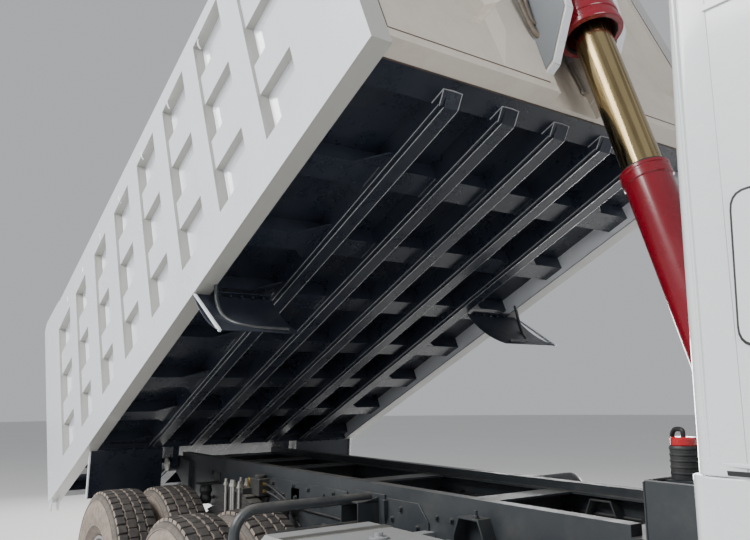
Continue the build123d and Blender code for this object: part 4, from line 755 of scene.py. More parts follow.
def front_wheel(shape):
    """A front rim, disc, hub and drum on the left side, its middle at y = 0."""
    turn = Matrix.Rotation(-math.pi / 2, 4, "X")
    rim_barrel(shape, turn, -0.104, 0.104)
    rim_disc(shape, turn, 0.100, 0.046, 1)
    bore = 0.0512
    hub_shape(shape, turn, [(0.205, 0.02), (0.205, -0.095), (bore, -0.095), (bore, 0.150), (0.070, 0.154),
                            (0.086, 0.146), (0.090, 0.130), (0.094, 0.104), (0.168, 0.100), (0.168, 0.086),
                            (0.120, 0.02)])
    for a in turns(6):
        spot = turn @ Vector((0.074 * math.cos(a), 0.074 * math.sin(a), 0.151))
        shape.nut(spot, (0, 1, 0), 0.008, 0.006)
    return shape


def add_wheels():
    """Tyres and rims of all six wheels in place of their CAD nodes."""
    twin_tyres = tyre_shape(tyre_shape(Shape(), -SPACING), SPACING).data("twin_tyres")
    front_tyre = tyre_shape(Shape(), 0).data("front_tyre")
    twin_rims, front_rim = twin_wheel(Shape()).data("twin_rims"), front_wheel(Shape()).data("front_rim")
    for name in [part for part in frame["bodies"] if part.startswith("wheel_")]:
        site = name.removeprefix("wheel_")
        twin = not site.startswith("front")
        centre = Vector(joints[f"{name}_spin"]["pos_m"])
        outward = Matrix.Rotation(math.pi if site.endswith("right") else 0, 4, "Z")
        place = Matrix.Translation(centre) @ outward
        add(f"treaded_tyre_{site}", twin_tyres if twin else front_tyre, name, "tyre", replaces=[f"tyre_{site}"],
            place=place)
        add(f"dished_rim_{site}", twin_rims if twin else front_rim, name, "rim", replaces=[f"rim_{site}"],
            place=place)


add_wheels()


# The bed's underside, front wall and plates

BEAM_Y = [0.335 * k for k in range(-2, 3)]
CROSSBEAM_U = [0.001 + 5.135 / 9 * k for k in range(9)]
FLOOR_N, CROSSBEAM_N, BEAM_HALF = 0.12, 0.04, 0.051


def floor_welds():
    """Weld beads where the long beams meet the cross-beams."""
    welds = Shape()
    for y in BEAM_Y:
        for side in (-1, 1):
            face = y + side * BEAM_HALF
            for u in CROSSBEAM_U:
                for edge in (u, u + 0.15):
                    welds.pipe([(edge, face, CROSSBEAM_N), (edge, face, FLOOR_N)], 0.0045, 6)
                welds.pipe([(u, face, CROSSBEAM_N), (u + 0.15, face, CROSSBEAM_N)], 0.0045, 6)
    return welds


def beam_edges():
    """Lighter grey beads along the long beams' lower edges, painted highlights, and weld beads round their noses in
    the same lighter grey, partly painted highlight.
    """
    edges = Shape()
    for y in BEAM_Y:
        for across, n in ((y + BEAM_HALF, 0.001), (y - BEAM_HALF + 0.025, 0.001), (y - BEAM_HALF, 0.010)):
            edges.pipe([(-0.028, across, n), (5.170, across, n)], 0.0022, 6)
        for across in (y - BEAM_HALF, y + BEAM_HALF):
            edges.pipe([(5.172, across, 0.002), (5.227, across, 0.047)], 0.0025, 6)
        nose = [(5.140, y - BEAM_HALF, 0.047), (5.226, y - BEAM_HALF, 0.047), (5.229, y, 0.047),
                (5.226, y + BEAM_HALF, 0.047), (5.140, y + BEAM_HALF, 0.047)]
        edges.pipe(nose, 0.004, 6, 1)
    return edges


def floor_gussets():
    """Three-cornered stiffeners in the corners between the outer beams and the cross-beams."""
    plates = Shape()
    for u in CROSSBEAM_U[1:]:
        plates.plate([(u + 0.15, 0.7215), (u + 0.25, 0.7215), (u + 0.15, 0.86)], 0.041, 0.049, "Z")
        plates.plate([(u, 0.7215), (u - 0.07, 0.7215), (u, 0.80)], 0.041, 0.049, "Z")
    return plates.mirrored()


def sill_seams():
    """Weld seams along the sills' inner lower edges."""
    seams = Shape()
    points = [(0.02 + 0.0894 * k, 1.1055, 0.004 + 0.0015 * (k % 2)) for k in range(60)]
    seams.pipe(points, 0.0035, 6, 1)
    return seams.mirrored()


def hanging_plates():
    """The dished mudguard plates and the flat flaps below the bed, each with its fixing strip."""
    plates = Shape()
    for u0, n0, u1, n1, y0, y1, dish in ((3.550, 0, 3.790, -0.345, 0.74, 1.2, 0.03),
                                         (1.215, 0, 1.05, -0.307, 0.6, 1.15, 0)):
        along = Vector((u1 - u0, 0, n1 - n0))
        square = Vector((n0 - n1, 0, u1 - u0)).normalized()
        rows = []
        for step in range(9):
            t = step / 8
            sink = square * (-dish * 4 * t * (1 - t))
            low, high = Vector((u0, y0, n0)) + along * t + sink, Vector((u0, y1, n0)) + along * t + sink
            rows.append([low, high, high + square * 0.005, low + square * 0.005])
        plates.skin(rows)
        plates.block(u0 - 0.035, u0 + 0.05, y0 + 0.02, y1 - 0.1, -0.006, 0.0)
        for k in range(5):
            spot = (u0 + 0.022, y0 + 0.06 + k * (y1 - y0 - 0.2) / 4, -0.006)
            plates.nut(spot, (0, 0, -1), 0.009, 0.012)
    return plates.mirrored()


def mudguard_flanges():
    """The white return flanges on the mudguards' and flaps' outer edges."""
    flanges = Shape()
    flanges.plate([(3.552, -0.004), (3.566, -0.004), (3.802, -0.345), (3.788, -0.352)], 1.185, 1.1995)
    flanges.plate([(1.205, -0.004), (1.238, -0.004), (1.071, -0.307), (1.040, -0.307)], 1.1505, 1.162)
    return flanges.mirrored()


def mudguard_stays():
    """A bent rod at each mudguard's outer edge and a thinner one behind each flap."""
    stays = Shape()
    stays.pipe([(3.66, 1.11, 0.03), (3.64, 1.11, -0.10), (3.66, 1.085, -0.20), (3.735, 1.0, -0.285),
                (3.775, 0.80, -0.315)], 0.011, 12, 8)
    stays.pipe([(1.16, 0.70, -0.03), (1.06, 0.70, -0.10), (0.97, 0.70, -0.045), (0.94, 0.70, 0.04)], 0.009, 10, 6)
    return stays.mirrored()


def corner_brackets():
    """Pointed brackets and latch hooks at the bed's rear lower corners."""
    brackets = Shape()
    brackets.plate([(-0.028, 0.004), (0.115, 0.004), (0.012, -0.085), (-0.022, -0.06)], 1.128, 1.138)
    brackets.plate([(-0.028, 0.004), (0.115, 0.004), (0.012, -0.085), (-0.022, -0.06)], 1.185, 1.195)
    hook = [(-0.028, 0.02), (-0.028, 0.26), (-0.060, 0.25), (-0.092, 0.19), (-0.104, 0.11), (-0.094, 0.05),
            (-0.072, 0.05), (-0.078, 0.11), (-0.070, 0.16), (-0.052, 0.16), (-0.05, 0.02)]
    brackets.plate(hook, 1.132, 1.152)
    brackets.rod((-0.068, 1.12, 0.20), (-0.068, 1.165, 0.20), 0.018, 16)
    return brackets.mirrored()


def front_seams():
    """Seams at the foot of the front wall and up its posts."""
    seams = Shape()
    seams.pipe([(5.3855, 1.10, 0.094), (5.386, 0.21, 0.096)], 0.0028, 6)
    seams.pipe([(5.3855, 1.098, 0.10), (5.386, 1.098, 1.42)], 0.0028, 6)
    seams.pipe([(5.284, 1.10, 0.0465), (5.284, -1.10, 0.0465)], 0.004, 6)
    return seams.mirrored()


CHEEK = [(5.31, 0.140), (5.437, 0.168), (5.505, 0.237), (5.611, 0.344), (5.670, 0.650), (5.630, 0.730), (5.31, 1.000)]


def cheek_edges():
    """Folded edges round the bracket's cheeks."""
    edges = Shape()
    for (u0, n0), (u1, n1) in zip(CHEEK, CHEEK[1:]):
        length = math.hypot(u1 - u0, n1 - n0)
        ru, rn = (n1 - n0) / length * 0.005, -(u1 - u0) / length * 0.005
        edges.plate([(u0, n0), (u1, n1), (u1 + ru, n1 + rn), (u0 + ru, n0 + rn)], 0.163, 0.209)
    return edges.mirrored()


def cheek_doublers():
    """Doubler plates on the cheeks' outer faces and a short web behind each."""
    plates = Shape()
    middle_u, middle_n = 5.50, 0.56
    outline = [(middle_u + (u - middle_u) * 0.95, middle_n + (n - middle_n) * 0.965) for u, n in CHEEK]
    plates.plate(outline, 0.205, 0.2085)
    plates.plate([(5.388, 0.209), (5.50, 0.209), (5.43, 0.33), (5.388, 0.33)], 0.985, 0.995, "Z")
    return plates.mirrored()


def field_pipes():
    """Two bent pipes beside the bracket's right cheek, from the front wall into the cheek."""
    pipes = Shape()
    pipes.pipe([(5.380, -0.250, 1.34), (5.41, -0.252, 1.30), (5.44, -0.262, 1.05), (5.455, -0.250, 0.80),
                (5.44, -0.236, 0.55), (5.43, -0.222, 0.38), (5.43, -0.198, 0.34)], 0.013, 12, 8)
    pipes.pipe([(5.380, -0.285, 1.36), (5.43, -0.287, 1.32), (5.47, -0.290, 1.08), (5.49, -0.262, 0.84),
                (5.47, -0.232, 0.62), (5.445, -0.220, 0.44), (5.445, -0.198, 0.40)], 0.009, 10, 8)
    return pipes


def trunnion_caps():
    """Bolted bearing caps on the bracket's cheeks."""
    caps = Shape()
    place = facing_y(5.59, 0.204, 0.65)
    caps.turned([(0.0368, 0), (0.074, 0), (0.074, 0.016), (0.056, 0.022), (0.052, 0.034), (0.0368, 0.034)], place, 40)
    caps.nuts(place, 6, 0.064, 0.016, (0, 1, 0), 0.007, 0.010)
    return caps.mirrored()


def bracket_pipes():
    """Two steel oil pipes that run down inside the bracket's cheeks."""
    pipes = Shape()
    pipes.pipe([(5.312, -0.142, 1.38), (5.329, -0.144, 1.36), (5.332, -0.146, 1.30), (5.332, -0.146, 0.24),
                (5.329, -0.144, 0.18), (5.312, -0.142, 0.16)], 0.014, 12, 6)
    pipes.pipe([(5.312, 0.142, 1.32), (5.327, 0.144, 1.30), (5.330, 0.147, 1.24), (5.330, 0.147, 0.28),
                (5.327, 0.144, 0.22), (5.312, 0.142, 0.20)], 0.012, 12, 6)
    return pipes


def pipe_clips():
    """Clips and six-sided unions on the bracket's pipes."""
    clips = Shape()
    for u, y, n in ((5.332, -0.146, 1.02), (5.332, -0.146, 0.66), (5.332, -0.146, 0.32), (5.330, 0.146, 0.92),
                    (5.330, 0.146, 0.42)):
        clips.rod((u, y, n - 0.02), (u, y, n + 0.02), 0.018, 6)
        clips.block(5.309, u, y - 0.010, y + 0.018 * (1 if y > 0 else 0.9), n - 0.012, n + 0.012)
    return clips


def sheet_rails():
    """The rolled rail along the tops of the sides and of the front wall."""
    rails = Shape()
    rails.block(5.28, 5.388, 0.165, 1.105, 1.4305, 1.445)
    rails.block(5.28, 5.312, 0.0, 0.165, 1.4305, 1.445)
    rails.pipe([(5.34, 1.10, 1.452), (5.34, 0.2, 1.452)], 0.014, 10)
    rails.pipe([(5.385, 1.155, 1.437), (0.60, 1.155, 1.658)], 0.016, 10)
    return rails.mirrored()


def side_pins():
    """Cover-sheet hooks along the sides' tops."""
    hooks = Shape()
    for k in range(9):
        u = 0.9 + 0.53 * k
        n = 1.653 - 0.223 * (u - 0.585) / 4.805
        hooks.pipe([(u, 1.19, n - 0.10), (u, 1.1985, n - 0.12), (u, 1.1985, n - 0.16), (u, 1.19, n - 0.18)], 0.005, 8,
                   3)
    return hooks.mirrored()


add("floor_weld_beads", floor_welds(), "bed", "bed_grey")
# painted highlights: lighter grey beads along the beams' lower edges and round their noses
add("beam_edge_painted_highlights", beam_edges(), "bed", "seam_grey_and_edge_highlight", "bed_grey")
add("floor_gussets", floor_gussets(), "bed", "bed_grey", edge=0.001)
add("sill_weld_seams", sill_seams(), "bed", "seam_grey_and_edge_highlight", "bed_grey")
add("mudguard_and_flap_plates", hanging_plates(), "bed", "bed_grey", edge=0.0012, replaces=["bed_flaps"], sharp=50)
add("mudguard_flanges", mudguard_flanges(), "bed", "bed_white", edge=0.002)
add("mudguard_stays", mudguard_stays(), "bed", "frame_grey")
add("bed_corner_hooks", corner_brackets(), "bed", "bed_white", edge=0.002)
add("front_wall_seams", front_seams(), "bed", "rust", "bed_front_white")
add("hoist_cheek_edges", cheek_edges(), "bed", "bed_white", "bed_front_white", 0.0015)
add("hoist_cheek_doublers", cheek_doublers(), "bed", "cheek_grey", "bed_front_white", 0.0015)
add("hoist_bracket_pipes", field_pipes(), "bed", "dusty_hose", "bed_front_white")
add("trunnion_caps", trunnion_caps(), "bed", "engine_grey", "bed_front_white", 0.001)
add("bracket_oil_pipes", bracket_pipes(), "bed", "zinc", "bed_front_white")
add("bracket_pipe_clips", pipe_clips(), "bed", "seam_grey_and_edge_highlight", "bed_front_white", 0.001)
add("bed_top_rails", sheet_rails(), "bed", "bed_white", edge=0.003)
add("cover_sheet_hooks", side_pins(), "bed", "bed_white")


# The hoist

upright = Matrix.Identity(4)


def base_head():
    """The gland ring at the base tube's head and the collar near its foot."""
    head = Shape()
    head.turned([(0.0985, 1.285), (0.1035, 1.290), (0.1035, 1.318), (0.1005, 1.322), (0.1005, 1.330), (0.1035, 1.334),
                 (0.1035, 1.346), (0.0845, 1.346), (0.0845, 1.285)], upright, 60)
    head.turned([(0.0985, 0.10), (0.108, 0.105), (0.108, 0.150), (0.0985, 0.155)], upright, 60)
    return head


def stage_rings():
    """The wiper ring where the stage leaves the base tube."""
    ring = Shape()
    ring.turned([(0.0845, 1.3465), (0.0965, 1.3465), (0.0935, 1.356), (0.0865, 1.358), (0.0845, 1.354)], upright, 60)
    return ring


def cover_mouth(length):
    """Rolled lips round the cover's mouth and its bands."""
    low, high = length - 0.36, length + 1.05
    lips = Shape()
    for start, radius in ((low + 0.001, 0.147), (low + 0.060, 0.144), (high - 0.12, 0.143)):
        lips.turned([(0.1395, start), (radius - 0.002, start), (radius, start + 0.004), (radius, start + 0.024),
                     (radius - 0.002, start + 0.028), (0.1395, start + 0.028)], upright, 60)
    return lips


def cover_head(length):
    """The thin disc let into the cover's head."""
    high = length + 1.05
    return Shape().turned(oblong(0.02, 0.116, high - 0.004, high - 0.0005), upright, 48)


def cover_seal(length):
    """The black wiper lip inside the cover's mouth."""
    low = length - 0.36
    seal = Shape()
    seal.turned([(0.1205, low + 0.003), (0.118, low + 0.001), (0.113, low + 0.006), (0.114, low + 0.030),
                 (0.1205, low + 0.034)], upright, 60)
    return seal


hoist_length = (Vector(joints["hoist_cover_swing"]["pos_m"]) - Vector(joints["hoist_base_swing"]["pos_m"])).length
add("hoist_gland_rings", base_head(), "hoist_base", "hoist_red", sharp=25)
add("hoist_wiper_ring", stage_rings(), "hoist_base", "hose", "hoist_red")
add("hoist_cover_lips", cover_mouth(hoist_length), "hoist_cover", "hoist_red", sharp=25)
add("hoist_cover_head", cover_head(hoist_length), "hoist_cover", "hoist_red", sharp=25)
add("hoist_cover_seal", cover_seal(hoist_length), "hoist_cover", "hose", "hoist_red")


# The chassis: rails, springs, guard tubes, foot box

RAIL_Y, RAIL_TOP = 0.425, 1.26
AXLES_X, AXLE_Z = (0.0, 1.35, 5.15), 0.56
MEMBERS_X = (-0.56, 0.06, 0.675, 1.65, 2.63, 3.55, 6.24)


def rail_liners():
    """Reinforcement plates on the rails' outer faces."""
    liners = Shape()
    liners.plate([(0.93, 1.02), (0.93, 1.215), (0.97, 1.235), (1.84, 1.235), (1.84, 0.975), (1.0, 0.975)],
                 RAIL_Y, RAIL_Y + 0.008)
    liners.plate([(2.20, 0.972), (2.20, 1.241), (2.455, 1.241), (2.525, 1.165), (2.525, 0.972)], RAIL_Y,
                 RAIL_Y + 0.008)
    liners.plate([(4.30, 0.972), (4.36, 1.241), (5.95, 1.241), (6.0, 0.972)], RAIL_Y, RAIL_Y + 0.008)
    return liners.mirrored()


def rail_bolts():
    """Bolts that hold the cross-members and plates to the rails' webs."""
    bolts = Shape()
    spots = [(x + dx, z) for x in MEMBERS_X for dx in (-0.05, 0.05) for z in (1.015, 1.195)]
    for x, z in spots:
        bolts.nut((x, RAIL_Y, z), (0, 1, 0), 0.011, 0.014)
    for x, z in ((1.011, 1.142), (0.99, 1.206), (1.13, 1.146), (1.282, 1.146), (1.431, 1.206), (1.568, 1.136),
                 (1.704, 1.21), (1.25, 1.21), (1.0, 1.03), (1.30, 1.03), (1.60, 1.03), (2.32, 1.203), (2.447, 1.133),
                 (2.25, 1.02), (2.46, 1.02), (2.25, 1.15), (4.5, 1.2), (4.8, 1.2), (5.2, 1.2), (5.6, 1.2),
                 (4.5, 1.02),
                 (5.6, 1.02)):
        bolts.nut((x, RAIL_Y + 0.008, z), (0, 1, 0), 0.012, 0.015)
    return bolts.mirrored()


def hat_brackets():
    """Pressed saddle brackets on the rails' outer and inner faces, with their studs."""
    hats = Shape()
    for x, low, high in ((2.86, RAIL_Y, RAIL_Y + 0.07), (2.86, RAIL_Y - 0.08, RAIL_Y - 0.01),
                         (4.15, RAIL_Y, RAIL_Y + 0.06)):
        outline = [(-0.095, 1.10), (-0.095, 1.155), (-0.06, 1.235), (0.06, 1.235), (0.095, 1.155), (0.095, 1.10),
                   (0.088, 1.10), (0.088, 1.153), (0.055, 1.227), (-0.055, 1.227), (-0.088, 1.153), (-0.088, 1.10)]
        hats.plate([(x + dx, z) for dx, z in outline], low, high)
        hats.rod((x + 0.03, high - 0.02, 1.235), (x + 0.03, high - 0.02, 1.268), 0.009, 12)
        hats.nut((x + 0.03, high - 0.02, 1.236), (0, 0, 1), 0.014, 0.012)
    hats.plate([(2.188, 1.15), (2.188, 1.232), (2.214, 1.232), (2.214, 1.15)], RAIL_Y, RAIL_Y + 0.032)
    return hats.mirrored()


def leaf(shape, x, level, radius, half_length, thickness, y0, y1, runs=10):
    """One bent leaf with thinned ends, its lower face's middle at (x, level)."""
    reach = math.asin(half_length / radius)
    rings = []
    for k in range(runs + 1):
        a = reach * (2 * k / runs - 1)
        outer = radius + thickness * (0.55 if k in (0, runs) else 1)
        low = (x + radius * math.sin(a), level - radius + radius * math.cos(a))
        high = (x + outer * math.sin(a), level - radius + outer * math.cos(a))
        rings.append([(low[0], y0, low[1]), (low[0], y1, low[1]), (high[0], y1, high[1]), (high[0], y0, high[1])])
    shape.skin(rings)


def rear_leaf_springs():
    """The balanced leaf packs with their clamp plates, trunnion hubs and hangers."""
    pack = Shape()
    x, bottom, count, thick = 0.675, 0.92, 9, 0.024
    for k in range(count):
        leaf(pack, x, bottom + k * thick, 1.7083 + k * thick, 0.7 - 0.065 * k, thick - 0.002, 0.473, 0.557)
    top = bottom + count * thick
    pack.block(x - 0.15, x + 0.15, 0.465, 0.565, top - 0.004, top + 0.028)
    pack.block(x - 0.13, x + 0.13, 0.465, 0.557, bottom - 0.06, bottom)
    place = facing_y(x, 0, 0.79)
    pack.turned([(0.0, 0.453), (0.094, 0.453), (0.094, 0.56), (0.088, 0.568), (0.070, 0.572), (0.066, 0.582),
                 (0.0, 0.582)], place, 40, closed=False)
    pack.nuts(place, 8, 0.079, 0.568, (0, 1, 0), 0.007, 0.010)
    pack.plate([(x - 0.26, 1.11), (x + 0.26, 1.11), (x + 0.10, 0.70), (x - 0.10, 0.70)], 0.425, 0.453)
    return pack.mirrored()


def spring_clamps():
    """Plated clamp bolts and nuts on the rear and front packs, and the nuts over the drive axles."""
    clamps = Shape()
    for x in (0.57, 0.66, 0.69, 0.78):
        for y in (0.462, 0.568):
            clamps.rod((x, y, 0.83), (x, y, 1.205), 0.0105, 12)
            clamps.nut((x, y, 1.164), (0, 0, 1), 0.016, 0.020)
    for x in (5.08, 5.22):
        for y in (0.376, 0.474):
            clamps.rod((x, y, 0.44), (x, y, 0.62), 0.009, 12)
            clamps.nut((x, y, 0.606), (0, 0, 1), 0.014, 0.016)
    for x in (-0.045, 0.045, 1.305, 1.395):
        for y in (0.467, 0.563):
            clamps.nut((x, y, 0.752), (0, 0, 1), 0.013, 0.014)
    return clamps.mirrored()


def valve_blocks():
    """A brake valve with its cap on each rail beside the rear springs."""
    valves = Shape()
    valves.block(0.80, 0.93, 0.425, 0.505, 1.12, 1.225)
    valves.rod((0.865, 0.465, 1.225), (0.865, 0.465, 1.245), 0.035, 24)
    return valves.mirrored()


def brass_fittings():
    """Yellow plated elbows and unions on the valves."""
    fittings = Shape()
    fittings.rod((0.80, 0.49, 1.19), (0.775, 0.49, 1.205), 0.013, 6)
    fittings.pipe([(0.775, 0.49, 1.205), (0.755, 0.49, 1.215), (0.75, 0.49, 1.175), (0.755, 0.485, 1.13)], 0.010, 10,
                  5)
    fittings.rod((0.93, 0.47, 1.15), (0.955, 0.47, 1.15), 0.012, 6)
    fittings.rod((0.93, 0.47, 1.195), (0.955, 0.47, 1.195), 0.012, 6)
    return fittings.mirrored()


def rail_pipes():
    """Air pipes and cable conduit inside the rails with their clips, and the valves' pipes outside them."""
    pipes = Shape()
    for y, z, r in ((0.404, 1.16, 0.009), (0.404, 1.13, 0.009), (0.399, 1.08, 0.014)):
        pipes.pipe([(-0.45, y, z), (1.2, y - 0.002, z - 0.004), (2.9, y, z), (4.4, y, z - 0.003)], r, 10, 3)
    for k in range(12):
        x = -0.3 + 0.42 * k
        pipes.block(x, x + 0.018, 0.382, 0.416, 1.062, 1.175)
    pipes.pipe([(0.955, 0.47, 1.15), (1.02, 0.475, 1.15), (1.15, 0.447, 1.10), (1.35, 0.437, 0.99)], 0.007, 8, 6)
    pipes.pipe([(0.955, 0.47, 1.195), (1.05, 0.475, 1.185), (1.3, 0.445, 1.10), (1.72, 0.440, 1.09),
                (1.95, 0.44, 1.08)], 0.007, 8, 6)
    return pipes.mirrored()


def bump_stops():
    """Rubber bump stops on brackets beside the rails, above the drive axles."""
    stops = Shape()
    for x in (0.09, 1.27):
        place = Matrix.Translation((x, 0.515, 0))
        stops.turned([(0.0, 0.985), (0.034, 0.99), (0.044, 1.02), (0.036, 1.05), (0.046, 1.08), (0.038, 1.11),
                      (0.038, 1.12), (0.0, 1.12)], place, 28, closed=False)
        stops.plate(oblong(x - 0.06, x + 0.06, 1.12, 1.13), 0.425, 0.57)
        stops.plate(oblong(x - 0.05, x + 0.05, 1.13, 1.2), 0.425, 0.433)
    return stops.mirrored()


def guards():
    """Bent guard tubes in front of the rear wheels, and the plates that carry them."""
    tubes = Shape()
    for z, reach in ((1.26, 1.17), (1.13, 1.05)):
        level, bend = z - 0.030, 0.11
        arc = [(2.06, reach - bend + bend * math.sin(a), level - bend + bend * math.cos(a))
               for a in (math.pi / 2 * k / 8 for k in range(9))]
        tubes.pipe([(2.06, 0.430, level)] + arc + [(2.06, reach, z - 0.42)], 0.0245, 16, 1)
        tubes.rod((2.06, reach, z - 0.421), (2.06, reach, z - 0.412), 0.027, 16)
    tubes.block(1.93, 2.19, 0.425, 0.437, 1.07, 1.255)
    tubes.plate([(0.437, 1.24), (0.56, 1.215), (0.56, 1.09), (0.437, 1.075)], 1.98, 1.988, "X")
    tubes.plate([(0.437, 1.24), (0.56, 1.215), (0.56, 1.09), (0.437, 1.075)], 2.132, 2.140, "X")
    tubes.block(1.98, 2.14, 0.437, 0.56, 1.215, 1.223)
    return tubes.mirrored()


def foot_box_trim():
    """The rolled rim, corner welds and bolts of the hoist's foot box."""
    trim = Shape()
    x0, x1, half, top = 3.68, 4.30, 0.45, 1.45
    trim.pipe([(x0 + 0.005, -half + 0.005, top), (x1 - 0.005, -half + 0.005, top), (x1 - 0.005, half - 0.005, top),
               (x0 + 0.005, half - 0.005, top), (x0 + 0.005, -half + 0.005, top)], 0.006, 8, 1)
    for x in (x0, x1):
        for y in (-half, half):
            trim.pipe([(x, y, RAIL_TOP + 0.002), (x, y, top)], 0.004, 6)
    for x in (x0 + 0.12, x0 + 0.31, x0 + 0.50):
        for side in (-1, 1):
            trim.nut((x, side * 0.40, RAIL_TOP + 0.01), (0, 0, 1), 0.014, 0.016)
    return trim


CAN_PLACE = Matrix.Translation((3.74, -0.30, 0))


def oil_can():
    """The black oil can at the foot box's corner, with ribbed sides and a shoulder."""
    can = Shape()
    profile = [(0.0, 1.451), (0.0475, 1.451)]
    for k in range(5):
        z = 1.456 + 0.020 * k
        profile += [(0.0475, z), (0.0475, z + 0.012), (0.0492, z + 0.014), (0.0492, z + 0.018)]
    profile += [(0.046, 1.5605), (0.030, 1.5605), (0.0, 1.5605)]
    can.turned(profile, CAN_PLACE, 40, closed=False)
    return can


def can_cap():
    """The can's red cap."""
    cap = Shape()
    cap.turned([(0.0, 1.5605), (0.041, 1.5605), (0.043, 1.564), (0.043, 1.584), (0.039, 1.589), (0.0, 1.590)],
               CAN_PLACE, 40, closed=False)
    return cap


def box_pipes():
    """The can's pipe and the hoist foot's oil pipe, both led to the box's wall."""
    pipes = Shape()
    pipes.pipe([(3.74, -0.30, 1.588), (3.735, -0.30, 1.612), (3.69, -0.28, 1.605), (3.655, -0.24, 1.54),
                (3.645, -0.22, 1.43),
                (3.645, -0.22, 1.36), (3.66, -0.22, 1.335), (3.684, -0.22, 1.325)], 0.008, 10, 8)
    pipes.pipe([(3.84, 0.15, 1.40), (3.83, 0.22, 1.36), (3.80, 0.33, 1.31), (3.74, 0.40, 1.285),
                (3.684, 0.42, 1.285)], 0.014, 12, 8)
    return pipes


add("rail_liners", rail_liners(), "chassis", "frame_grey", edge=0.0015)
add("rail_bolts", rail_bolts(), "chassis", "frame_grey")
add("hat_brackets", hat_brackets(), "chassis", "frame_grey", edge=0.0015)
add("leaf_springs", rear_leaf_springs(), "chassis", "axle_black", edge=0.002, replaces=["rear_springs"])
add("spring_clamps", spring_clamps(), "chassis", "zinc", "axle_black")
add("brake_valves", valve_blocks(), "chassis", "axle_black", edge=0.004)
add("brake_valve_fittings", brass_fittings(), "chassis", "brass", "axle_black")
add("rail_pipes", rail_pipes(), "chassis", "hose", "cab_black")
add("bump_stops", bump_stops(), "chassis", "hose", "axle_black", 0.001)
add("bent_guard_tubes", guards(), "chassis", "frame_grey", edge=0.0015, replaces=["guard_tubes"])
add("foot_box_trim", foot_box_trim(), "chassis", "frame_grey")
add("oil_can", oil_can(), "chassis", "cab_black", sharp=25)
add("oil_can_cap", can_cap(), "chassis", "can_red", "cab_black", sharp=25)
add("foot_box_pipes", box_pipes(), "chassis", "hose", "cab_black")


# Running gear: brake chambers, torque rods, flanges and the tanks' fittings


def brake_chambers():
    """Brake chambers with their rods and brackets on every axle."""
    chambers = Shape()
    for axle_x, y, z, ahead_by in zip(AXLES_X, (0.32, 0.32, 0.60), (0.70, 0.70, 0.72), (1, -1, -1)):
        place = facing_x(axle_x + ahead_by * 0.13, y, z, ahead_by)
        chambers.turned([(0.0, 0), (0.055, 0.0), (0.074, 0.020), (0.078, 0.050), (0.084, 0.052), (0.084, 0.066),
                         (0.078, 0.068), (0.074, 0.100), (0.050, 0.118), (0.0, 0.120)], place, 32, closed=False)
        chambers.rod((axle_x + ahead_by * 0.13, y, z), (axle_x + ahead_by * 0.03, y + 0.05, z - 0.04), 0.010, 10)
        chambers.plate([(y - 0.05, z - 0.12), (y + 0.05, z - 0.12), (y + 0.08, z + 0.05), (y - 0.08, z + 0.05)],
                       axle_x + ahead_by * 0.122, axle_x + ahead_by * 0.130, "X")
    return chambers.mirrored()


def torque_rods():
    """Torque rods from the drive axles to the trunnion brackets, with their rubber eyes."""
    rods = Shape()
    for start, end in (((0.06, 0.36, 0.44), (0.60, 0.40, 0.72)), ((1.29, 0.36, 0.44), (0.75, 0.40, 0.72))):
        rods.rod(start, end, 0.021, 16)
        for x, y, z in (start, end):
            rods.rod((x, y - 0.035, z), (x, y + 0.035, z), 0.042, 24)
            rods.rod((x, y - 0.045, z), (x, y + 0.045, z), 0.016, 12)
    rods.plate([(0.50, 0.70), (0.85, 0.70), (0.80, 0.94), (0.55, 0.94)], 0.395, 0.425)
    rods.plate([(-0.02, 0.50), (0.10, 0.50), (0.10, 0.41), (0.02, 0.41)], 0.33, 0.39)
    rods.plate([(1.37, 0.50), (1.25, 0.50), (1.25, 0.41), (1.33, 0.41)], 0.33, 0.39)
    return rods.mirrored()


def shaft_flanges():
    """Bolted flanges at the ends of the propeller shafts, and the axles' carrier rings."""
    flanges = Shape()
    for x, z in ((0.34, 0.64), (1.085, 0.64), (1.70, 0.645), (4.10, 0.985)):
        place = facing_x(x, 0, z)
        flanges.turned([(0.0, -0.012), (0.086, -0.012), (0.086, 0.004), (0.062, 0.010), (0.062, 0.030), (0.0, 0.030)],
                       place, 32, closed=False)
        flanges.nuts(place, 8, 0.073, 0.004, (1, 0, 0), 0.007, 0.010)
    for x in AXLES_X[:2]:
        place = facing_y(x, 0, AXLE_Z)
        for side in (-1, 1):
            flanges.turned(oblong(0.200, 0.224, side * 0.100, side * 0.086), place, 40)
            flanges.nuts(place, 16, 0.212, side * 0.100, (0, side, 0), 0.007, 0.009)
    return flanges


def strap_ring(shape, x, width, outline, thickness):
    """A flat strap round an outline of (y, z) points."""
    middle_y = sum(y for y, z in outline) / len(outline)
    middle_z = sum(z for y, z in outline) / len(outline)
    outer = [(y + math.copysign(thickness, y - middle_y), z + math.copysign(thickness, z - middle_z))
             for y, z in outline]
    rings = []
    for level, points in ((x, outline), (x, outer), (x + width, outer), (x + width, outline)):
        rings.append([(level, y, z) for y, z in points])
    shape.skin(rings, closed=True)


AIR_TANKS_Y, AIR_TANKS_Z = (0.64, 0.93), 0.85
TANK_EDGE = [(-1.180, 0.645), (-1.135, 0.600), (-0.605, 0.600), (-0.560, 0.645), (-0.560, 1.115), (-0.605, 1.160),
             (-1.135, 1.160), (-1.180, 1.115)]


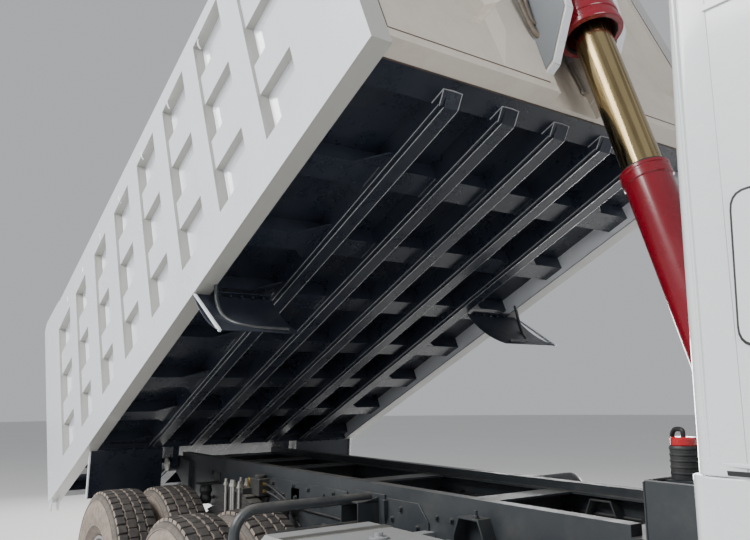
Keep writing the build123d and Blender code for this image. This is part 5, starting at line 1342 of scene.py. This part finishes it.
def tank_straps():
    """Straps round the fuel tank with their tightening bolts, and the air tanks' bands."""
    straps = Shape()
    for x in (2.42, 2.86, 3.30):
        strap_ring(straps, x, 0.055, TANK_EDGE, 0.004)
        straps.rod((x + 0.027, -1.20, 0.86), (x + 0.027, -1.184, 0.86), 0.012, 12)
        straps.nut((x + 0.027, -1.186, 0.93), (0, -1, 0), 0.011, 0.012)
    for y in AIR_TANKS_Y:
        for x in (3.25, 3.80):
            place = facing_x(x, y, AIR_TANKS_Z)
            straps.turned(oblong(0.1295, 0.1335, 0, 0.06), place, 40)
    return straps


def tank_fittings():
    """The tank's pressed end ribs, filler neck and sender, and the air tanks' domed ends."""
    fittings = Shape()
    for x in (2.296, 3.499):
        inset = [(y + (0.035 if y < -0.87 else -0.035), z + (0.035 if z < 0.88 else -0.035)) for y, z in TANK_EDGE]
        fittings.plate(inset, x, x + 0.005, "X")
    neck = Matrix.Translation((3.12, -0.95, 1.16))
    fittings.turned([(0.0, 0), (0.052, 0.0), (0.052, 0.020), (0.058, 0.022), (0.058, 0.044), (0.052, 0.050),
                     (0.0, 0.052)], neck, 36, closed=False)
    sender = Matrix.Translation((2.66, -0.80, 1.16))
    fittings.turned([(0.0, 0), (0.040, 0.0), (0.040, 0.008), (0.018, 0.010), (0.018, 0.024), (0.0, 0.026)], sender,
                    28, closed=False)
    for y in AIR_TANKS_Y:
        for x, turn in ((3.15, -1), (3.95, 1)):
            place = facing_x(x, y, AIR_TANKS_Z, turn)
            fittings.turned([(0.0, 0.034), (0.040, 0.032), (0.085, 0.022), (0.115, 0.008), (0.125, -0.006),
                             (0.0, -0.006)], place, 40, closed=False)
    return fittings


def battery_lid():
    """The battery box's ribbed lid, its latches and louvres."""
    lid = Shape()
    lid.block(2.39, 3.06, 0.612, 1.188, 1.1405, 1.168)
    for k in range(5):
        lid.block(2.45 + 0.125 * k, 2.49 + 0.125 * k, 0.66, 1.14, 1.168, 1.176)
    for x in (2.50, 2.90):
        lid.block(x, x + 0.03, 1.1805, 1.192, 1.06, 1.15)
        lid.rod((x + 0.015, 1.192, 1.075), (x + 0.015, 1.20, 1.075), 0.010, 12)
    for k in range(4):
        lid.plate([(1.1805, 0.74 + 0.06 * k), (1.190, 0.745 + 0.06 * k), (1.1805, 0.775 + 0.06 * k)], 2.60, 2.86, "X")
    return lid


def engine_dress():
    """The engine's covers, side pipe, pan, pulleys and filters, and the gearbox's ribs and flange."""
    dress = Shape()
    for k in range(6):
        x = 4.92 + 0.17 * k
        dress.plate([(x, 1.5605), (x + 0.14, 1.5605), (x + 0.125, 1.595), (x + 0.015, 1.595)], -0.17, 0.17)
        for side in (-1, 1):
            dress.rod((x + 0.07, side * 0.301, 1.36), (x + 0.07, side * 0.335, 1.33), 0.030, 16)
            dress.block(x + 0.01, x + 0.13, min(side * 0.301, side * 0.312), max(side * 0.301, side * 0.312), 0.95,
                        1.22)
    dress.pipe([(4.93, 0.352, 1.33), (5.3, 0.36, 1.32), (5.8, 0.352, 1.33)], 0.042, 20, 4)
    dress.block(4.95, 5.98, -0.22, 0.22, 0.79, 0.862)
    for y, z, r in ((0.0, 1.0, 0.11), (0.16, 1.28, 0.06), (-0.17, 1.24, 0.07), (0.0, 1.36, 0.05)):
        place = facing_x(6.02, y, z)
        dress.turned([(0.0, 0), (r * 0.5, 0), (r * 0.5, 0.010), (r, 0.012), (r * 0.9, 0.020), (r, 0.028),
                      (r * 0.9, 0.036), (r, 0.042), (r * 0.4, 0.044), (0.0, 0.044)], place, 32, closed=False)
    for k in range(6):
        x = 4.20 + 0.10 * k
        for side in (-1, 1):
            dress.plate([(side * 0.19, 0.93), (side * 0.205, 0.95), (side * 0.205, 1.19), (side * 0.19, 1.21)], x,
                        x + 0.012, "X")
    place = facing_x(4.845, 0, 1.10)
    dress.turned(oblong(0.0, 0.235, 0, 0.016), place, 40, closed=False)
    for side in (-1, 1):
        dress.rod((4.95, side * 0.33, 1.02), (5.11, side * 0.33, 1.02), 0.055, 24)
        dress.rod((4.98, side * 0.33, 0.90), (4.98, side * 0.33, 1.0), 0.045, 20)
    return dress


def radiator():
    """The radiator core's tubes and tanks in front of the engine."""
    core = Shape()
    core.block(6.115, 6.175, -0.33, 0.33, 0.84, 0.90)
    core.block(6.115, 6.175, -0.33, 0.33, 1.24, 1.30)
    for k in range(34):
        y = -0.32 + 0.0190 * k
        core.block(6.125, 6.165, y, y + 0.006, 0.90, 1.24)
    for side in (-1, 1):
        core.block(6.118, 6.172, side * 0.33 - 0.012, side * 0.33 + 0.012, 0.86, 1.28)
    return core


def rear_lamps():
    """The rear lamp boxes' rims and the bar's end caps."""
    rims = Shape()
    for side in (-1, 1):
        low, high = sorted((side * 0.705, side * 1.095))
        corners = [(-0.8705, high, 0.595), (-0.8705, low, 0.595), (-0.8705, low, 0.715), (-0.8705, high, 0.715)]
        rims.border(corners, 0.010, 0.016, (-1, 0, 0))
        y0, y1 = sorted((side * 1.1505, side * 1.158))
        rims.plate(rounded(oblong(-0.852, -0.768, 0.468, 0.592), 0.012), y0, y1)
    return rims


def rear_lenses(low, high):
    """One colour of the rear lamps' lenses, domed, between two places across."""
    lenses = Shape()
    lenses.skin([[(x, a, b) for a, b in ((low + g, 0.608 + g), (high - g, 0.608 + g), (high - g, 0.702 - g),
                                         (low + g, 0.702 - g))]
                 for x, g in ((-0.8705, 0), (-0.880, 0.002), (-0.884, 0.012))])
    return lenses.mirrored()


def tailgate_fittings():
    """Bottom latches and raised ribs on the tailgate."""
    fittings = Shape()
    for y in (0.56, 1.02):
        fittings.block(-0.034, -0.004, y - 0.035, y + 0.035, 0.15, 0.30)
        fittings.rod((-0.034, y, 0.22), (-0.046, y, 0.22), 0.016, 16)
    for n in (0.35, 0.52, 0.69, 0.98, 1.14, 1.30):
        for y in (0.29, 0.80):
            fittings.plate([(0.0055, n - 0.03), (-0.012, n - 0.018), (-0.012, n + 0.018), (0.0055, n + 0.03)],
                           y - 0.20, y + 0.20)
    return fittings.mirrored()


def tailgate_hinge_caps():
    """Round caps on the ends of the tailgate's hinge pins."""
    return Shape().rod((0.004, 1.05, 1.64), (0.004, 1.066, 1.64), 0.024, 24).mirrored()


def hinge_caps():
    """Round caps with grease nipples on the ends of the bed's hinge pins."""
    caps = Shape()
    place = facing_y(-0.68, 0, 1.21)
    caps.turned([(0.0, 0.532), (0.050, 0.532), (0.050, 0.544), (0.030, 0.548), (0.0, 0.548)], place, 32, closed=False)
    caps.rod((-0.68, 0.545, 1.21), (-0.68, 0.558, 1.21), 0.008, 8)
    return caps.mirrored()


add("brake_chambers", brake_chambers(), "chassis", "axle_black", sharp=25)
add("torque_rods", torque_rods(), "chassis", "axle_black", edge=0.001)
add("shaft_flanges", shaft_flanges(), "chassis", "axle_black")
add("tank_straps", tank_straps(), "chassis", "zinc", "tank_grey")
add("tank_fittings", tank_fittings(), "chassis", "tank_grey", edge=0.001)
add("battery_lid", battery_lid(), "chassis", "cab_black", edge=0.003)
add("engine_dress", engine_dress(), "chassis", "engine_grey", edge=0.002)
add("radiator_core", radiator(), "chassis", "axle_black", "engine_grey", 0.001)
add("rear_lamp_rims", rear_lamps(), "chassis", "cab_black", edge=0.001)
add("rear_red_lenses", rear_lenses(0.72, 0.86), "chassis", "red_lens", "glass")
add("rear_amber_lenses", rear_lenses(0.865, 0.975), "chassis", "amber_lens", "glass")
add("rear_clear_lenses", rear_lenses(0.98, 1.08), "chassis", "clear_lens", "glass")
add("tailgate_fittings", tailgate_fittings(), "tailgate", "bed_white", edge=0.003)
add("tailgate_hinge_caps", tailgate_hinge_caps(), "tailgate", "zinc", "bed_white", 0.002)
add("bed_hinge_caps", hinge_caps(), "chassis", "zinc", "frame_grey", 0.001)


# The cab

CAB_NOSE, CAB_SIDE, CAB_ROOF = 6.50, 1.24, 2.9595
SEAT_Y = 0.72
STEERING_CENTRE = (6.01, 0.72, 1.96)


def nose_x(z):
    """The cab front's outer face at a height."""
    return CAB_NOSE - 0.01 * (z - 1.15) / 0.73 if z < 1.88 else CAB_NOSE - 0.01 - 0.18 * (z - 1.88) / 0.95


SCREEN_SLOPE = Vector((0.95, 0, 0.18)).normalized()
DOOR_WINDOW = [(5.42, 1.96), (6.185, 1.96), (6.065, 2.65), (5.42, 2.65)]
HATCH = [(4.478, 1.822), (5.16, 1.822), (5.16, 2.112), (4.487, 2.112)]


def side_panels():
    """Raised hatch covers and skirt panels on the cab's sides, and the pressed line up its rear corners."""
    panels = Shape()
    panels.plate(rounded(HATCH, 0.035), CAB_SIDE, CAB_SIDE + 0.004)
    panels.plate([(4.385, 1.27), (4.80, 1.27), (4.84, 1.285), (5.20, 1.285), (5.20, 1.575), (4.385, 1.575)], CAB_SIDE,
                 CAB_SIDE + 0.0065)
    panels.plate(oblong(4.464, 5.20, 2.50, 2.512), CAB_SIDE, CAB_SIDE + 0.005)
    panels.pipe([(4.404, 1.241, 2.77), (4.400, 1.241, 2.0), (4.398, 1.241, 1.66), (4.406, 1.241, 1.616),
                 (4.44, 1.240, 1.602), (4.80, 1.239, 1.602), (5.19, 1.239, 1.602)], 0.0055, 8, 5)
    for k in range(3):
        z = 1.66 + 0.05 * k
        panels.plate(rounded(oblong(4.56, 5.08, z, z + 0.020), 0.009, 3), CAB_SIDE, CAB_SIDE + 0.006)
    return panels.mirrored()


def corner_covers():
    """Moulded covers round the cab's rear corners, deeper below the seam."""
    covers = Shape()
    below = ((1.155, 4.336), (1.30, 4.337), (1.578, 4.338))
    above = ((1.5795, 4.352), (1.80, 4.353), (2.20, 4.358), (2.60, 4.370), (2.80, 4.378))
    for levels in (below, above):
        rings = []
        for z, rear in levels:
            out = 0.007 if z < 1.58 else 0.004
            arc = [(rear + 0.055 - 0.055 * math.cos(a), CAB_SIDE - 0.055 + out + 0.055 * math.sin(a))
                   for a in (math.radians(90 - 15 * k) for k in range(7))]
            rings.append([(x, y, z) for x, y in [(4.47, CAB_SIDE + 0.0006), *arc, (rear + 0.004, 1.12), (4.384, 1.10),
                                                 (4.40, 1.20), (4.46, 1.236)]])
        covers.skin(rings)
    return covers.mirrored()


def side_gaps():
    """Rubber in the gaps round the hatches and over the skirt panels."""
    gaps = Shape()
    outline = rounded([(4.473, 1.817), (5.165, 1.817), (5.165, 2.117), (4.482, 2.117)], 0.038)
    gaps.border([(x, CAB_SIDE, z) for x, z in reversed(outline)], 0.006, 0.0025, (0, 1, 0))
    gaps.block(4.43, 5.20, CAB_SIDE, CAB_SIDE + 0.0045, 1.5825, 1.5915)
    return gaps.mirrored()


def glass_seals():
    """The rubber seal round the windscreen."""
    seals = Shape()
    corners = [(-1.11, 1.92), (1.11, 1.92), (1.05, 2.76), (-1.05, 2.76)]
    outline = [(nose_x(z) - 0.004, y, z) for y, z in rounded(corners, 0.05)]
    seals.border(outline, 0.030, 0.010, SCREEN_SLOPE)
    return seals


def windscreen_frit():
    """The black printed band along the windscreen's edges."""
    band = Shape()
    corners = [(-1.10, 1.93), (1.10, 1.93), (1.04, 2.75), (-1.04, 2.75)]
    outline = [(nose_x(z) - 0.0185, y, z) for y, z in rounded(corners, 0.05)]
    band.border(outline, 0.060, 0.0012, SCREEN_SLOPE)
    return band


def front_grille():
    """The dark grille on the cab's front with its slats and uprights."""
    grille = Shape()
    face = CAB_NOSE - 0.002
    back = rounded([(-0.78, 1.24), (0.78, 1.24), (0.86, 1.70), (-0.86, 1.70)], 0.06)
    grille.plate(back, face - 0.004, face + 0.004, "X")
    for k in range(6):
        z = 1.275 + 0.072 * k
        half = 0.745 + 0.075 * k / 6
        grille.skin([[(face + 0.004, y, z), (face + 0.030, y, z + 0.006), (face + 0.034, y, z + 0.020),
                      (face + 0.026, y, z + 0.036),
                      (face + 0.004, y, z + 0.030)] for y in (-half, -half * 0.5, 0.0, half * 0.5, half)])
    for y in (-0.52, -0.26, 0.0, 0.26, 0.52):
        grille.block(face + 0.003, face + 0.022, y - 0.008, y + 0.008, 1.265, 1.69)
    return grille


def front_trim():
    """The rail, the grab bar and the head lamps' surrounds on the cab's front."""
    trim = Shape()
    face = CAB_NOSE - 0.006
    trim.plate(rounded([(-0.93, 1.735), (0.93, 1.735), (0.97, 1.845), (-0.97, 1.845)], 0.03), face - 0.006,
               face + 0.012, "X")
    for side in (-1, 1):
        low, high = sorted((side * 0.88, side * 1.20))
        corners = rounded(oblong(low, high, 1.20, 1.44), 0.04)
        outline = [(CAB_NOSE - 0.002, y, z) for y, z in corners]
        trim.border(outline, 0.022, 0.026, (1, 0, 0))
    trim.pipe([(CAB_NOSE - 0.01, -0.62, 1.79), (CAB_NOSE + 0.045, -0.60, 1.79), (CAB_NOSE + 0.05, 0.0, 1.792),
               (CAB_NOSE + 0.045, 0.60, 1.79), (CAB_NOSE - 0.01, 0.62, 1.79)], 0.014, 12, 6)
    return trim


def head_lamps(reflectors):
    """The head lamps' domed lenses, or the bowls behind them."""
    lamps = Shape()
    for y in (0.97, 1.11):
        place = facing_x(CAB_NOSE - 0.002, y, 1.32)
        if reflectors:
            lamps.turned([(0.0, 0.001), (0.030, 0.003), (0.055, 0.012), (0.064, 0.020), (0.068, 0.020),
                          (0.066, 0.0005), (0.0, 0.0005)], place, 32, closed=False)
        else:
            lamps.turned([(0.0, 0.030), (0.030, 0.029), (0.052, 0.025), (0.0635, 0.018), (0.0635, 0.0165),
                          (0.0, 0.0265)], place, 32, closed=False)
    return lamps.mirrored()


def turn_lamps():
    """Amber lamps under the head lamps, over the visor and on the cab's sides."""
    lamps = Shape()
    lamps.plate(rounded(oblong(0.91, 1.17, 1.225, 1.248), 0.01, 3), CAB_NOSE - 0.002, CAB_NOSE + 0.014, "X")
    for y in (0.35, 0.75):
        lamps.plate(rounded(oblong(y - 0.05, y + 0.05, 2.895, 2.92), 0.01, 3), 6.40, 6.428, "X")
    lamps.plate(rounded(oblong(6.30, 6.40, 1.60, 1.63), 0.012, 3), CAB_SIDE, CAB_SIDE + 0.016)
    return lamps.mirrored()


def sun_visor():
    """The tinted visor over the windscreen, on its brackets."""
    visor = Shape()
    rows = []
    for k in range(13):
        y = -1.06 + 2.12 * k / 12
        bow = 0.05 * (y / 1.06) ** 2
        rows.append([(6.315 - bow, y, 2.905), (6.46 - bow, y, 2.775), (6.466 - bow, y, 2.782),
                     (6.321 - bow, y, 2.913)])
    visor.skin(rows)
    for y in (-0.8, -0.27, 0.27, 0.8):
        visor.plate([(6.28, 2.84), (6.33, 2.78), (6.42, 2.80), (6.32, 2.895)], y - 0.006, y + 0.006)
    return visor


def wipers():
    """Two wiper arms with their blades and spindles."""
    arms = Shape()
    for pivot, tip in ((-0.78, -0.18), (0.10, 0.70)):
        z0, z1 = 1.885, 2.13
        start = (nose_x(z0) + 0.012, pivot, z0)
        end = (nose_x(z1) + 0.006, tip, z1)
        arms.rod((nose_x(z0) - 0.01, pivot, z0), start, 0.018, 16)
        arms.rod(start, end, 0.007, 8, 0.004)
        blade = [(nose_x(z) - 0.009, tip + dy, z) for dy, z in ((-0.30, 2.02), (0.30, 2.25))]
        arms.rod(blade[0], blade[1], 0.009, 6)
        arms.rod(tuple(p + 0.007 if k == 0 else p for k, p in enumerate(blade[0])),
                 tuple(p + 0.007 if k == 0 else p for k, p in enumerate(blade[1])), 0.005, 6)
    return arms


def mirror_glasses():
    """The mirrors' silvered glasses."""
    glasses = Shape()
    glasses.plate(rounded(oblong(1.345, 1.505, 2.01, 2.42), 0.02), 6.2925, 6.2945, "X")
    return glasses.mirrored()


def mirror_shells():
    """Black shells over the mirrors' backs, with their arms' sleeves."""
    shells = Shape()
    inner = oblong(1.332, 1.518, 1.992, 2.438)
    shells.border([(6.2948, y, z) for y, z in reversed(rounded(inner, 0.018))], 0.012, 0.004, (-1, 0, 0))
    rings = []
    for x, inset in ((6.3505, 0.030), (6.362, 0.040), (6.368, 0.062)):
        rings.append([(x, y, z) for y, z in rounded([(1.33 + inset, 1.99 + inset), (1.52 - inset, 1.99 + inset),
                                                     (1.52 - inset, 2.44 - inset),
                                                     (1.33 + inset, 2.44 - inset)], 0.03)])
    shells.skin(rings)
    for z in (1.979, 2.451):
        shells.rod((6.3075, 1.24, z), (6.3075, 1.30, z), 0.0165, 14)
        shells.rod((6.3075, 1.242, z), (6.3075, 1.250, z), 0.030, 20)
    return shells.mirrored()


def wheel_arches():
    """Rubber lips round the wheel arches and the mud wings behind the front wheels."""
    arches = Shape()
    cx, cz = AXLES_X[2], AXLE_Z
    spans = ((math.radians(60), math.radians(120), 0.690, 0.712, 1.225, 1.262),
             (math.radians(124), math.radians(171), 0.700, 0.712, 0.87, 1.238))
    for start, end, low, high, y0, y1 in spans:
        rings = []
        for k in range(15):
            a = start + (end - start) * k / 14
            low_point = (cx + low * math.cos(a), cz + low * math.sin(a))
            high_point = (cx + high * math.cos(a), cz + high * math.sin(a))
            rings.append([(low_point[0], y0, low_point[1]), (low_point[0], y1, low_point[1]),
                          (high_point[0], y1, high_point[1]), (high_point[0], y0, high_point[1])])
        arches.skin(rings)
    a = math.radians(171)
    arches.plate([(cx + 0.716 * math.cos(a), cz + 0.70 * math.sin(a) + 0.12),
                  (cx + 0.708 * math.cos(a), cz + 0.70 * math.sin(a) + 0.12),
                  (cx + 0.708 * math.cos(a), 0.40), (cx + 0.716 * math.cos(a), 0.40)], 0.88, 1.23)
    arches.plate([(4.44, 1.02), (4.80, 1.16), (4.80, 1.20), (4.42, 1.20)], 0.98, 0.99)
    return arches.mirrored()


def cab_roof():
    """Pressed ribs and the hatch on the roof, the rear wall's ribs and the roof's gutters."""
    roof = Shape()
    for y in (-0.90, -0.62, 0.62, 0.90):
        roof.plate(rounded(oblong(4.62, 5.95, y - 0.045, y + 0.045), 0.03), CAB_ROOF, 2.9675, "Z")
    hatch = oblong(5.05, 5.72, -0.36, 0.36)
    roof.plate(rounded(hatch, 0.06), CAB_ROOF, 2.978, "Z")
    roof.plate(rounded([(x + (0.05 if x < 5.3 else -0.05), y * 0.86) for x, y in hatch], 0.05), 2.978, 2.988, "Z")
    for y in (-0.95, -0.70, 0.70, 0.95):
        roof.plate(rounded(oblong(y - 0.05, y + 0.05, 1.50, 2.70), 0.04), 4.372, 4.3805, "X")
    roof.plate(rounded(oblong(-0.45, 0.45, 1.50, 1.90), 0.05), 4.372, 4.3805, "X")
    roof.pipe([(4.52, 1.2395, 2.925), (5.9, 1.2395, 2.93), (6.06, 1.2395, 2.93)], 0.009, 8, 3)
    roof.pipe([(4.52, -1.2395, 2.925), (5.9, -1.2395, 2.93), (6.06, -1.2395, 2.93)], 0.009, 8, 3)
    return roof


def rear_window():
    """The rear wall's window glass."""
    return Shape().plate(rounded(oblong(-0.50, 0.50, 2.08, 2.52), 0.06), 4.374, 4.379, "X")


def cab_rubber():
    """The seals round the rear window and the roof hatch."""
    rubber = Shape()
    outline = [(4.380, y, z) for y, z in reversed(rounded(oblong(-0.53, 0.53, 2.05, 2.55), 0.07))]
    rubber.border(outline, 0.036, 0.011, (-1, 0, 0))
    rubber.border([(x, y, 2.9605) for x, y in rounded(oblong(5.03, 5.74, -0.38, 0.38), 0.07)], 0.02, 0.008,
                  (0, 0, 1))
    return rubber


def door_trim(side):
    """One door's window seals, handle with its lock, rubbing strip, inner panel and armrest."""
    trim = Shape()
    sealed = rounded(DOOR_WINDOW, 0.04)
    trim.border([(x, CAB_SIDE + 0.001, z) for x, z in reversed(sealed)], 0.016, 0.008, (0, 1, 0))
    trim.border([(x, CAB_SIDE - 0.061, z) for x, z in sealed], 0.016, 0.006, (0, -1, 0))
    trim.plate(rounded(oblong(5.375, 5.585, 1.815, 1.885), 0.02), CAB_SIDE + 0.0005, CAB_SIDE + 0.006)
    trim.pipe([(5.40, CAB_SIDE + 0.01, 1.850), (5.42, CAB_SIDE + 0.030, 1.852), (5.54, CAB_SIDE + 0.030, 1.852),
               (5.565, CAB_SIDE + 0.01, 1.850)], 0.010, 12, 5)
    trim.rod((5.60, CAB_SIDE, 1.850), (5.60, CAB_SIDE + 0.012, 1.850), 0.014, 20)
    trim.plate(rounded(oblong(5.36, 6.24, 1.36, 1.42), 0.02), CAB_SIDE + 0.0005, CAB_SIDE + 0.012)
    trim.plate(rounded(oblong(5.37, 6.20, 1.52, 1.84), 0.05), CAB_SIDE - 0.072, CAB_SIDE - 0.0605)
    trim.plate([(5.50, 1.66), (5.90, 1.66), (5.88, 1.70), (5.52, 1.70)], CAB_SIDE - 0.112, CAB_SIDE - 0.071)
    return trim.mirrored_only() if side < 0 else trim


def step_treads():
    """Raised grip bars on the cab's steps and their edge strips."""
    treads = Shape()
    for z in (0.49, 0.79):
        for k in range(12):
            x = 5.91 + 0.044 * k
            treads.plate(oblong(x, x + 0.012, 1.02, 1.215), z - 0.0005, z + 0.006, "Z")
        treads.block(5.90, 6.42, 1.2285, 1.2345, z - 0.028, z + 0.004)
    return treads.mirrored()


def bumper_dress():
    """Fog lamp surrounds and vent bars on the bumper's front."""
    dress = Shape()
    for side in (-1, 1):
        low, high = sorted((side * 0.60, side * 0.98))
        outline = [(6.6415, y, z) for y, z in rounded(oblong(low, high, 0.63, 0.80), 0.03)]
        dress.border(outline, 0.018, 0.008, (1, 0, 0))
    for k in range(4):
        z = 0.62 + 0.045 * k
        for side in (-1, 1):
            low, high = sorted((side * 0.12, side * 0.50))
            dress.plate(rounded(oblong(low, high, z, z + 0.020), 0.008, 3), 6.643, 6.6495, "X")
    return dress


def seat_frames():
    """The seats' moulded bases, rails and side levers."""
    frames = Shape()
    for y in (-SEAT_Y, SEAT_Y):
        frames.plate([(5.36, 1.401), (5.78, 1.401), (5.74, 1.60), (5.40, 1.60)], y - 0.17, y + 0.17)
        frames.plate(oblong(5.345, 5.79, 1.60, 1.64), y - 0.225, y + 0.225)
        for dy in (-0.20, 0.20):
            frames.block(5.34, 5.80, y + dy - 0.02, y + dy + 0.02, 1.401, 1.418)
        frames.rod((5.45, y - 0.235, 1.62), (5.60, y - 0.235, 1.635), 0.010, 10)
    return frames


def cushion(low, high, crown, pull=0.012):
    """A crowned seat cushion: its sides pulled in between the corners, flat below, with two sewn channels."""
    pad = Shape()
    (x0, y0, z0), (x1, y1, z1) = low, high
    across, along = 14, 12
    thick = z1 - z0
    grid = {}
    for layer in (0, 1):
        for i in range(along + 1):
            for j in range(across + 1):
                s, t = i / along * 2 - 1, j / across * 2 - 1
                swell = (1 - s ** 4) * (1 - t ** 4)
                edge = 1 - 0.10 * (abs(s) ** 8 + abs(t) ** 8) * layer
                x = (x0 + x1) / 2 + s * (x1 - x0) / 2 * edge
                y = (y0 + y1) / 2 + t * ((y1 - y0) / 2 - pull * (1 - s * s)) * edge
                channel = max(0.0, 1 - abs(abs(t) - 0.52) / 0.08)
                top = z0 + thick * (0.72 + 0.28 * swell ** 0.5) + crown * swell - 0.012 * channel * swell
                z = z0 if layer == 0 else top
                grid[layer, i, j] = pad.mesh.verts.new((x, y, z))
    for i in range(along):
        for j in range(across):
            for layer in (0, 1):
                pad.mesh.faces.new([grid[layer, a, b] for a, b in ((i, j), (i + 1, j), (i + 1, j + 1), (i, j + 1))])
    border = ([(0, j) for j in range(across)] + [(i, across) for i in range(along)]
              + [(along, j) for j in range(across, 0, -1)] + [(i, 0) for i in range(along, 0, -1)])
    for k, spot in enumerate(border):
        after = border[(k + 1) % len(border)]
        pad.mesh.faces.new((grid[(0, *spot)], grid[(0, *after)], grid[(1, *after)], grid[(1, *spot)]))
    return pad


def seat_backs(y):
    """A seat's backrest as a crowned pad that leans back."""
    pad = cushion((-0.215, -0.225, 0.0), (0.215, 0.225, 0.10), 0.014)
    turn = Matrix.Translation((5.275, y, 2.095)) @ Matrix.Rotation(math.radians(-95), 4, "Y").inverted()
    pad.mesh.transform(turn)
    return pad


def dashboard():
    """The dashboard's moulding with its hood, vents and instruments, and the gear lever."""
    dash = Shape()
    rows = []
    for k in range(13):
        y = -1.17 + 2.34 * k / 12
        hood = 0.035 * math.exp(-((y - 0.72) / 0.30) ** 2)
        rows.append([(6.18, y, 1.655), (6.42, y, 1.401), (6.42, y, 1.82), (6.30, y, 1.868 + hood * 0.3),
                     (6.24, y, 1.878 - 0.02 + hood), (6.16, y, 1.83 + hood * 0.6), (6.12, y, 1.78)])
    dash.skin(rows)
    for y in (-0.95, -0.40, 0.25, 1.05):
        dash.border([(6.128, y + a, z) for a, z in reversed(rounded(oblong(-0.06, 0.06, 1.70, 1.75), 0.01, 3))],
                    0.008, 0.010, (-1, 0, 0))
    dash.plate(rounded(oblong(0.50, 0.94, 1.735, 1.80), 0.02), 6.112, 6.14, "X")
    dash.rod((6.0, 0.25, 1.655), (5.92, 0.22, 1.87), 0.012, 12)
    dash.rod((5.921, 0.2204, 1.868), (5.913, 0.217, 1.92), 0.024, 20, 0.018)
    dash.turned([(0.075, 0.0), (0.06, 0.015), (0.045, 0.05), (0.0, 0.06)], Matrix.Translation((6.0, 0.25, 1.658)), 28,
                closed=False)
    return dash


def steering_wheel():
    """The steering wheel's rim, three spokes, boss and column, and the pedals behind it."""
    wheel = Shape()
    place = Matrix.Translation(STEERING_CENTRE) @ Matrix.Rotation(math.radians(-35), 4, "Y")
    section = [(0.225 + 0.0155 * math.cos(a), 0.0155 * math.sin(a)) for a in turns(12)]
    wheel.turned(section, place, 56)
    wheel.turned([(0.0, -0.02), (0.070, -0.018), (0.075, 0.0), (0.060, 0.018), (0.0, 0.022)], place, 32, closed=False)
    for a in (math.radians(90), math.radians(-90), math.radians(0)):
        start, end = (place @ Vector((r * math.cos(a), r * math.sin(a), 0)) for r in (0.06, 0.222))
        wheel.rod(start, end, 0.014, 10, 0.010)
    wheel.rod(STEERING_CENTRE, (6.18, 0.72, 1.735), 0.030, 20)
    for y, z in ((0.60, 1.45), (0.72, 1.45), (0.85, 1.46)):
        wheel.plate(oblong(y - 0.03, y + 0.03, z - 0.04, z + 0.05), 6.10, 6.112, "X")
        wheel.rod((6.112, y, z), (6.20, y, z + 0.10), 0.008, 8)
    return wheel


add("cab_side_panels", side_panels(), "cab", "cab_white", edge=0.002)
add("cab_corner_covers", corner_covers(), "cab", "cab_white", edge=0.004, sharp=30)
add("cab_panel_gaps", side_gaps(), "cab", "cab_black")
add("windscreen_seal", glass_seals(), "cab", "cab_black", edge=0.003)
add("windscreen_band", windscreen_frit(), "cab", "cab_black")
add("cab_grille", front_grille(), "cab", "cab_black", edge=0.002)
add("cab_front_trim", front_trim(), "cab", "cab_black", edge=0.003)
add("head_lamp_bowls", head_lamps(True), "cab", "chrome", "rim", sharp=50)
add("head_lamp_lenses", head_lamps(False), "cab", "clear_lens", "glass", sharp=50)
add("turn_lamps", turn_lamps(), "cab", "amber_lens", "glass", 0.002)
add("sun_visor", sun_visor(), "cab", "cab_black", edge=0.002)
add("windscreen_wipers", wipers(), "cab", "cab_black")
add("mirror_glasses", mirror_glasses(), "cab", "chrome", "glass")
add("mirror_shells", mirror_shells(), "cab", "cab_black", edge=0.002)
add("wheel_arch_lips", wheel_arches(), "cab", "cab_black", edge=0.003)
add("cab_roof_pressings", cab_roof(), "cab", "cab_white", edge=0.003)
add("cab_rear_window", rear_window(), "cab", "glass")
add("cab_rubber_seals", cab_rubber(), "cab", "cab_black", edge=0.002)
add("step_treads", step_treads(), "chassis", "zinc", "cab_black", 0.001)
add("bumper_trim", bumper_dress(), "chassis", "frame_grey", "cab_black", 0.001)
for side, site in ((1, "left"), (-1, "right")):
    add(f"door_trim_{site}", door_trim(side), f"door_{site}", "cab_black", edge=0.002)
add("seat_frames", seat_frames(), "cab", "cab_black", edge=0.003)
for y, site in ((SEAT_Y, "left"), (-SEAT_Y, "right")):
    seat = cushion((5.34, y - 0.235, 1.64), (5.79, y + 0.235, 1.79), 0.018)
    add(f"seat_cushion_{site}", seat, "cab", "cloth", "cab_black", sharp=60)
    back = add(f"seat_back_{site}", seat_backs(y), "cab", "cloth", "cab_black", sharp=60)
add("dashboard", dashboard(), "cab", "cab_black", edge=0.004, replaces=["cab_interior"])
add("steering_wheel", steering_wheel(), "cab", "cab_black")
